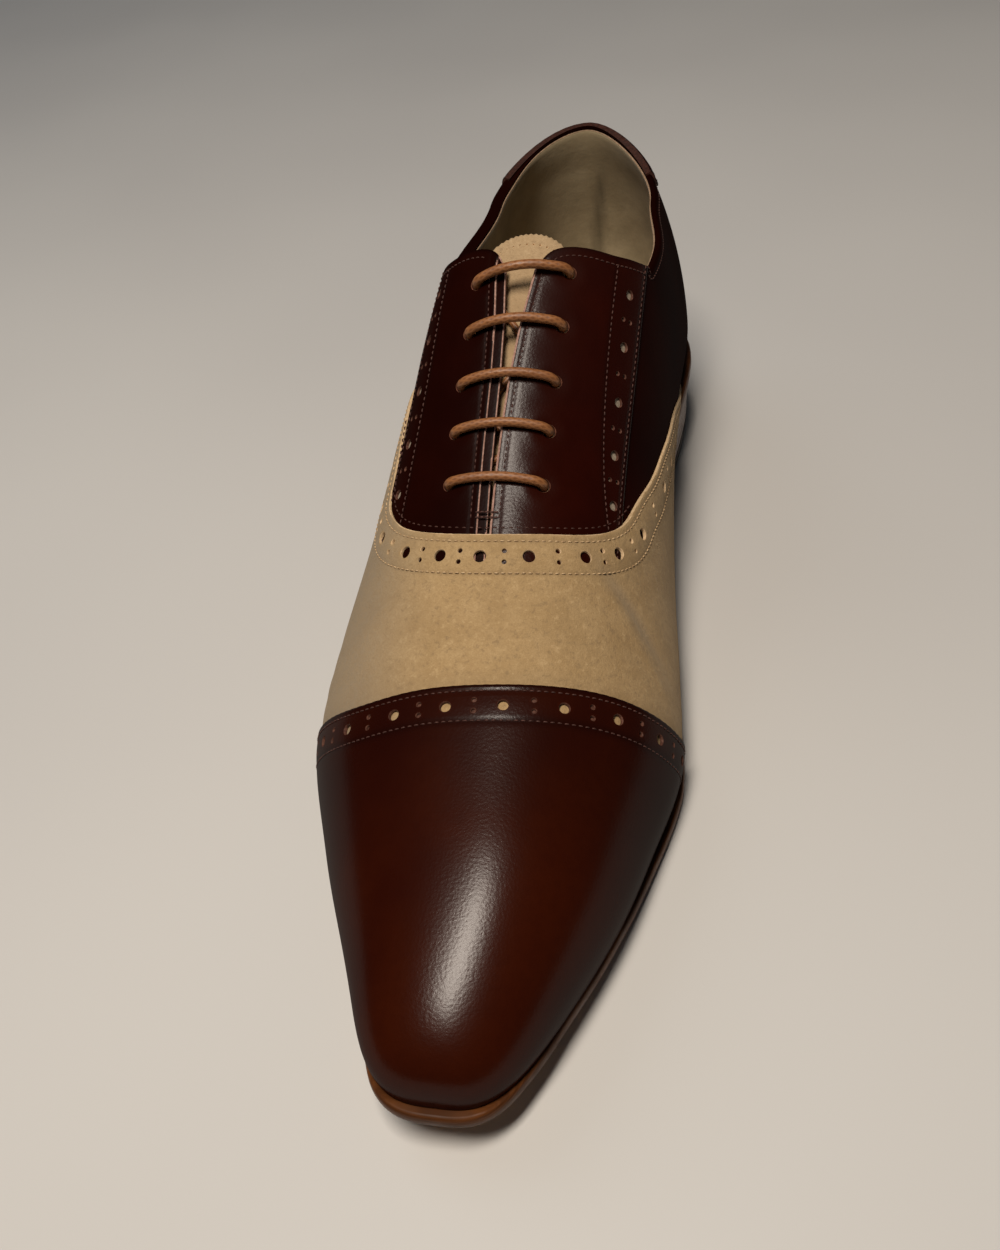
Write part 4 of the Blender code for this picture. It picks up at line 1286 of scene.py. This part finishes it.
def lace():
    """Straight lacing: bars on top, slanting runs under the facings, both ends hidden at the top eyelets."""
    holes = {}
    for k, (lat_s, med_s, rise) in enumerate(BARS):
        holes[("L", k)] = (lat_s, -EYELET_LAT)
        holes[("R", k)] = (med_s, EYELET_MED)
    spec = []

    def bar(k, start):
        other = "R" if start == "L" else "L"
        (s0, x0), (s1, x1) = holes[(start, k)], holes[(other, k)]
        rise = BARS[k][2]
        g = 1 if x1 > x0 else -1
        top = F_OUT + LACE_R
        spec.append((s0, x0 - 0.25 * g, -2.6))
        spec.append((s0, x0 - 0.25 * g, -0.9))
        spec.append((s0, x0 + 0.15 * g, 0.75))
        spec.append((s0, x0 + 1.7 * g, top + 0.02 + 0.25 * rise))
        for t in (0.22, 0.36, 0.5, 0.64, 0.78):
            spec.append((s0 + (s1 - s0) * t, x0 + (x1 - x0) * t, top + 0.12 + rise * math.sin(math.pi * t)))
        spec.append((s1, x1 - 1.7 * g, top + 0.02 + 0.25 * rise))
        spec.append((s1, x1 - 0.15 * g, 0.75))
        spec.append((s1, x1 + 0.25 * g, -0.9))
        spec.append((s1, x1 + 0.25 * g, -2.6))

    def under(a, b, depth):
        (s0, x0), (s1, x1) = holes[a], holes[b]
        for t in (0.10, 0.3, 0.5, 0.7, 0.90):
            spec.append((s0 + (s1 - s0) * t, x0 + (x1 - x0) * t, depth))

    spec.append((123.0, -EYELET_LAT + 1.5, -3.4))
    spec.append((127.5, -EYELET_LAT + 0.6, -3.5))
    bar(1, "L")
    under(("R", 1), ("L", 3), -3.65)
    bar(3, "L")
    under(("R", 3), ("L", 4), -3.65)
    bar(4, "L")
    under(("R", 4), ("L", 2), -3.0)
    bar(2, "L")
    under(("R", 2), ("L", 0), -3.0)
    bar(0, "L")
    spec.append((118.6, EYELET_MED - 0.4, -3.5))
    spec.append((121.5, EYELET_MED - 1.0, -3.6))
    base = over_points(spec)
    height = np.array([q[2] for q in spec])
    per = 6
    path = spline(base, per)
    hh = np.interp(np.arange(len(path)) / per, np.arange(len(height)), height)
    radius = LACE_R - 0.38 * smooth(-hh, 1.0, 3.0)
    ob, length = tube("lace", path, radius, lace_material())
    return ob, length


# ---------------------------------------------------------------- insole, sole, heel
def outline(offset, s_end=None):
    """Feather edge moved outward by offset(s, side): matching points of both sides, back to front."""
    us = np.concatenate([np.linspace(0, 44, 41)[:-1], np.arange(44, 75, 1.55), np.linspace(75, 236, 105),
                         S_TOE + (LENGTH - S_TOE) * np.sin(np.linspace(0, math.pi / 2, 44)[1:-1]) ** (2 / PLAN_P), [LENGTH - 0.001]])
    sides = {s: skin(us, np.full(us.shape, s * 1.0)) for s in SIGNS}
    lat, med = sides[LAT], sides[MED]
    loop = np.concatenate([lat, med[::-1][1:-1]])[:, :2]
    d = np.roll(loop, -1, 0) - np.roll(loop, 1, 0)
    nrm = np.stack([d[:, 1], -d[:, 0]], 1) / np.linalg.norm(d, axis=1, keepdims=True)
    if np.mean(np.einsum("ij,ij->i", nrm, loop - loop.mean(0))) < 0:
        nrm = -nrm
    k = len(lat)
    tag = np.array([LAT] * k + [MED] * (len(loop) - k))
    moved = loop + nrm * np.array([offset(s, t) for s, t in zip(loop[:, 1], tag)])[:, None]
    a = moved[:k]
    b = np.concatenate([moved[:1], moved[k:][::-1], moved[k - 1:k]])
    if s_end is not None:
        m = us <= s_end + 1e-6
        a, b = a[m], b[m]
    return a, b


COLS = 26


def plate(layers, closed_front):
    """Solid of stacked outlines: each layer is (lat, med, height(x, s)); top layer first. Gives points, faces and a group for each face."""
    pts, idx = [], []
    across = np.sin(np.linspace(-math.pi / 2, math.pi / 2, COLS + 1)) * 0.5 + 0.5
    for li, (lat, med, height) in enumerate(layers):
        full = li in (0, len(layers) - 1)
        rows = []
        for j in range(len(lat)):
            one = j == 0 or (closed_front and j == len(lat) - 1)
            row = []
            for cidx in range(COLS + 1):
                if one and cidx:
                    row.append(row[0])
                    continue
                q = lat[j] + (med[j] - lat[j]) * across[cidx]
                row.append(len(pts))
                pts.append((q[0], q[1], float(height(q[0], q[1]))))
            rows.append(row)
        idx.append(rows)
    faces, group = [], []
    n = len(layers[0][0])

    def add(f, g):
        f = [x for k, x in enumerate(f) if x != f[k - 1]]
        if len(f) > 2:
            faces.append(f)
            group.append(g)
    for rows, flip, g in ((idx[0], False, 0), (idx[-1], True, 2)):
        for j in range(n - 1):
            for cidx in range(COLS):
                f = [rows[j][cidx], rows[j + 1][cidx], rows[j + 1][cidx + 1], rows[j][cidx + 1]]
                add(f[::-1] if flip else f, g)
    rim = [(j, 0) for j in range(n)]
    if closed_front:
        rim += [(j, COLS) for j in range(n - 2, 0, -1)]
    else:
        rim += [(n - 1, q) for q in range(1, COLS)] + [(j, COLS) for j in range(n - 1, 0, -1)]
    for a, b in zip(idx[:-1], idx[1:]):
        for k in range(len(rim)):
            (j0, c0), (j1, c1) = rim[k], rim[(k + 1) % len(rim)]
            add([a[j1][c1], a[j0][c0], b[j0][c0], b[j1][c1]], 1)
    used = sorted({x for f in faces for x in f})
    new = {x: k for k, x in enumerate(used)}
    return np.array(pts)[used], [[new[x] for x in f] for f in faces], group


def edge_out(inset):
    def f(s, side):
        return float(np.interp(s, EDGE[:, 0], EDGE[:, 2 if side == MED else 1])) - inset
    return f


def sole_top(s):
    return float(feather(s)) - GAP


def sole_low(s):
    return float(feather(s)) - GAP - SOLE_T


def sole_materials():
    n = Nodes("sole_edge")
    ply = n.noise(1.0, 3, 0.6, n.scaled((60, 60, 1900)))
    col = n.mix(n.span(ply, 0.35, 0.68), (0.060, 0.019, 0.0050), (0.125, 0.042, 0.0110))
    col = n.mix(n.span(n.noise(70, 4), 0.42, 0.72, 0.0, 0.5), col, (0.036, 0.013, 0.0045))
    nb = n.bump(ply, 0.25, 0.0002)
    n.put(Specular_IOR_Level=0.10, Coat_Weight=0.0, Coat_Roughness=0.3)
    edge = n.done(col, n.span(n.noise(140, 3), 0.3, 0.7, 0.36, 0.52), nb)
    n = Nodes("sole_tread")
    col = n.mix(n.span(n.noise(42, 5, 0.62), 0.35, 0.68), (0.31, 0.165, 0.072), (0.42, 0.245, 0.12))
    waist = n.math("MULTIPLY", n.span(n.axis(1), -0.030, 0.004), n.span(n.axis(1), 0.062, 0.092, 1.0, 0.0))
    col = n.mix(n.math("MULTIPLY", waist, 0.85), col, (0.085, 0.031, 0.012))
    col = n.mix(n.span(n.noise(330, 3), 0.55, 0.8, 0.0, 0.4), col, (0.20, 0.11, 0.05))
    scratch = n.noise(1.0, 3, 0.7, n.scaled((900, 60, 400)))
    col = n.mix(n.span(scratch, 0.60, 0.78, 0.0, 0.35), col, (0.50, 0.33, 0.19))
    nb = n.bump(n.cells(900, "SMOOTH_F1"), 0.15, 0.00015)
    nb = n.bump(scratch, 0.12, 0.0003, nb)
    n.put(Specular_IOR_Level=0.3)
    tread = n.done(col, n.span(n.noise(80, 3), 0.3, 0.7, 0.45, 0.66), nb)
    n = Nodes("heel_lifts")
    ply = n.noise(1.0, 4, 0.65, n.scaled((90, 90, 1500)))
    col = n.mix(n.span(ply, 0.34, 0.7), (0.055, 0.018, 0.0075), (0.135, 0.049, 0.018))
    nb = n.bump(ply, 0.25, 0.0002)
    n.put(Specular_IOR_Level=0.45, Coat_Weight=0.25, Coat_Roughness=0.28)
    lifts = n.done(col, n.span(n.noise(120, 3), 0.3, 0.7, 0.32, 0.48), nb)
    n = Nodes("top_piece_skin")
    col = n.mix(n.span(n.noise(200, 4), 0.35, 0.7), (0.016, 0.013, 0.011), (0.034, 0.027, 0.022))
    col = n.mix(n.span(n.noise(60, 3), 0.55, 0.8, 0.0, 0.5), col, (0.075, 0.062, 0.05))
    nb = n.bump(n.noise(1500, 3), 0.35, 0.0002)
    n.put(Specular_IOR_Level=0.35)
    piece = n.done(col, n.span(n.noise(90, 3), 0.3, 0.7, 0.62, 0.82), nb)
    return edge, tread, lifts, piece


SOLE_EDGE, SOLE_TREAD, HEEL_LIFTS, TOP_PIECE = sole_materials()


def outsole():
    prof = [(0.95, lambda s: sole_top(s)), (0.45, lambda s: sole_top(s) - 0.12), (0.16, lambda s: sole_top(s) - 0.42),
            (0.0, lambda s: sole_top(s) - 0.9), (-0.08, lambda s: sole_top(s) - 1.9), (0.0, lambda s: sole_low(s) + 1.3),
            (0.2, lambda s: sole_low(s) + 0.65), (0.6, lambda s: sole_low(s) + 0.2), (1.1, lambda s: sole_low(s))]
    layers = [(*outline(edge_out(i)), (lambda x, s, z=z: z(s))) for i, z in prof]
    p, f, g = plate(layers, True)
    return mesh_object("outsole_leather", p, f, [SOLE_EDGE, SOLE_EDGE, SOLE_TREAD], g, 35)


def insole():
    inside = -(2.45 + 0.15)
    o = [outline(lambda s, side, k=k: inside - k) for k in (0.0, 0.35, 1.1)]

    def dish(x, s):
        mid = float(last("ridge_x", s)) * 0.3 + (4.0 if s < 60 else 0.0)
        return float(feather(s)) + INSOLE_T - 0.5 * math.exp(-((x - mid) / 20.0) ** 2 - ((s - 40.0) / 30.0) ** 2)
    layers = [(*o[2], dish), (*o[1], lambda x, s: float(feather(s)) + INSOLE_T - 0.15), (*o[0], lambda x, s: float(feather(s)) + INSOLE_T - 0.6),
              (*o[0], lambda x, s: float(feather(s)))]
    p, f, g = plate(layers, True)
    return mesh_object("sock", p, f, [SOCK, LINING_EDGE, LINING], g, 45)


def heel_stack():
    foot = TOP_PIECE_T + GAP
    lifts = 5
    layers = []
    for k in range(lifts):
        hi, lo = 1 - k / lifts, 1 - (k + 1) / lifts
        for f, extra in ((hi - 0.012, 0.34), (hi - 0.035, 0.06), ((hi + lo) / 2, 0.0), (lo + 0.035, 0.06), (lo + 0.012, 0.34)):
            if k == 0 and f == hi - 0.012:
                f, extra = 1.0, 0.15
            if k == lifts - 1 and f == lo + 0.012:
                f, extra = 0.0, 0.15
            inset = 0.5 + HEEL_TAPER * 0.75 * (1 - f) + 0.30 * math.sin(math.pi * f) + extra
            layers.append((*outline(edge_out(inset), S_BREAST), (lambda x, s, f=f: foot + f * (sole_low(s) - GAP - foot))))
    p, f, g = plate(layers, False)
    return mesh_object("heel_lifts", p, f, [HEEL_LIFTS] * 3, g, 50)


def heel_top_piece():
    prof = [(0.75, 1.0, 0.35), (0.75, 0.94, 0.0), (0.9, 0.5, 0.0), (1.0, 0.10, 0.05), (1.0, 0.0, 0.6)]
    layers = [(*outline(edge_out(0.5 + HEEL_TAPER * a + e), S_BREAST), (lambda x, s, z=z: TOP_PIECE_T * z)) for a, z, e in prof]
    p, f, g = plate(layers, False)
    return mesh_object("top_piece", p, f, [TOP_PIECE] * 3, g, 40)


# ---------------------------------------------------------------- put together
cap_ob = keep(toe_cap(), "upper_leather", "upper")
keep(vamp(), "upper_leather")
keep(quarters(), "upper_leather")
for side in SIGNS:
    keep(facing(side), "upper_leather")
    keep(strip_backing(side), "lining_leather")
keep(back_strap(), "upper_leather")
keep(lining(), "lining_leather")
keep(vamp_lining(), "lining_leather")
# sewing on the brown side of the vamp's edge, and the bar tack at the foot of the slit
e = beside(*vamp_curve, -2.0)
m = np.abs(e[1]) < 0.52
rows_sewn["brown"].row(*even(e[0][m], e[1][m], 400), off=F_OUT - 0.10, pitch=2.0)
for k in range(2):
    tack_s = np.full(12, 175.6 + 1.3 * k)
    tack_c = c_at(tack_s, np.linspace(-3.6, 2.6, 12))
    rows_sewn["brown"].row(tack_s, tack_c, off=F_OUT + 0.14, pitch=1.3, length=1.3, width=0.5, ends=0.1)
keep(rows_sewn["brown"].make("stitches_brown", THREAD_BROWN), "upper_leather")
keep(rows_sewn["tan"].make("stitches_tan", THREAD_TAN), "upper_leather")
keep(tongue(), "tongue_suede", "tongue")
lace_ob, LACE_LENGTH = lace()
keep(lace_ob, "lace_cord", "lace_bar_1", "lace_bar_2", "lace_bar_3", "lace_bar_4", "lace_bar_5")
keep(insole(), "lining_leather", "insole")
keep(outsole(), "sole_leather", "outsole")
keep(heel_stack(), "heel_leather", "heel_stack")
keep(heel_top_piece(), "top_piece_rubber", "heel_top_piece")
print("lace length mm", round(LACE_LENGTH, 1))


# ---------------------------------------------------------------- floor, light, camera
def floor():
    me = bpy.data.meshes.new("floor")
    h = 4.0
    me.from_pydata([(-h, -h, 0), (h, -h, 0), (h, h, 0), (-h, h, 0)], [], [(0, 1, 2, 3)])
    n = Nodes("floor_pale")
    col = n.mix(n.span(n.noise(2.2, 2), 0.3, 0.7), (0.535, 0.52, 0.505), (0.585, 0.57, 0.55))
    n.put(Specular_IOR_Level=0.2)
    me.materials.append(n.done(col, n.span(n.noise(9, 2), 0.3, 0.7, 0.5, 0.6)))
    ob = bpy.data.objects.new("floor", me)
    bpy.context.scene.collection.objects.link(ob)


def area(name, place, aim, size, power, colour, along=None):
    """Soft box; its long side may be laid along a direction."""
    d = bpy.data.lights.new(name, "AREA")
    d.shape = "RECTANGLE"
    d.size, d.size_y = size
    d.energy = power
    d.color = colour
    ob = bpy.data.objects.new(name, d)
    ob.location = place
    ob.rotation_euler = (Vector(aim) - Vector(place)).to_track_quat("-Z", "Y").to_euler()
    if along is not None:
        z = (Vector(place) - Vector(aim)).normalized()
        y = (Vector(along) - z * Vector(along).dot(z)).normalized()
        x = y.cross(z)
        ob.rotation_euler = Matrix([[x[k], y[k], z[k]] for k in range(3)]).to_euler()
    bpy.context.scene.collection.objects.link(ob)
    return ob


floor()
area("key", (-0.055, -0.265, 0.95), (0.0, -0.06, 0.03), (0.16, 0.40), 9.5, (1.0, 0.905, 0.79), (0.57, 0.82, 0.0))
fill = area("fill", (-1.1, 0.6, 1.4), (0.0, 0.0, 0.03), (1.2, 1.2), 4.4, (0.80, 0.90, 1.0))
fill.visible_glossy = False
w = bpy.data.worlds.new("studio")
bpy.context.scene.world = w
w.use_nodes = True
w.node_tree.nodes["Background"].inputs["Color"].default_value = (0.76, 0.83, 0.92, 1.0)
w.node_tree.nodes["Background"].inputs["Strength"].default_value = 0.045

# the photograph's eye point and angle, turned to put the one shoe in the middle
EYE = np.array([61.23, -246.11, 253.69]) * 0.001
YAW, PITCH, ROLL, FOCAL = -0.0805, 0.7722, -0.0242, 1018.4
ZOOM = 1.14
fwd = np.array([math.sin(YAW) * math.cos(PITCH), math.cos(YAW) * math.cos(PITCH), -math.sin(PITCH)])
right = np.array([math.cos(YAW), -math.sin(YAW), 0.0])
up = np.cross(right, fwd)
r2 = math.cos(ROLL) * right + math.sin(ROLL) * up
u2 = -math.sin(ROLL) * right + math.cos(ROLL) * up
look = fwd * FOCAL + r2 * (357.0 - 500.0) - u2 * (636.0 - 625.0)
look /= np.linalg.norm(look)
r3 = np.cross(look, u2)
r3 /= np.linalg.norm(r3)
u3 = np.cross(r3, look)
cam_data = bpy.data.cameras.new("camera")
cam_data.sensor_width = 36.0
cam_data.lens = FOCAL / 1250.0 * 36.0 * ZOOM
cam_data.dof.use_dof = False
cam_data.clip_start = 0.01
cam = bpy.data.objects.new("camera", cam_data)
cam.matrix_world = Matrix([[r3[k], u3[k], -look[k], EYE[k]] for k in range(3)] + [[0, 0, 0, 1]])
bpy.context.scene.collection.objects.link(cam)
bpy.context.scene.camera = cam
bpy.context.scene.view_settings.view_transform = "Standard"
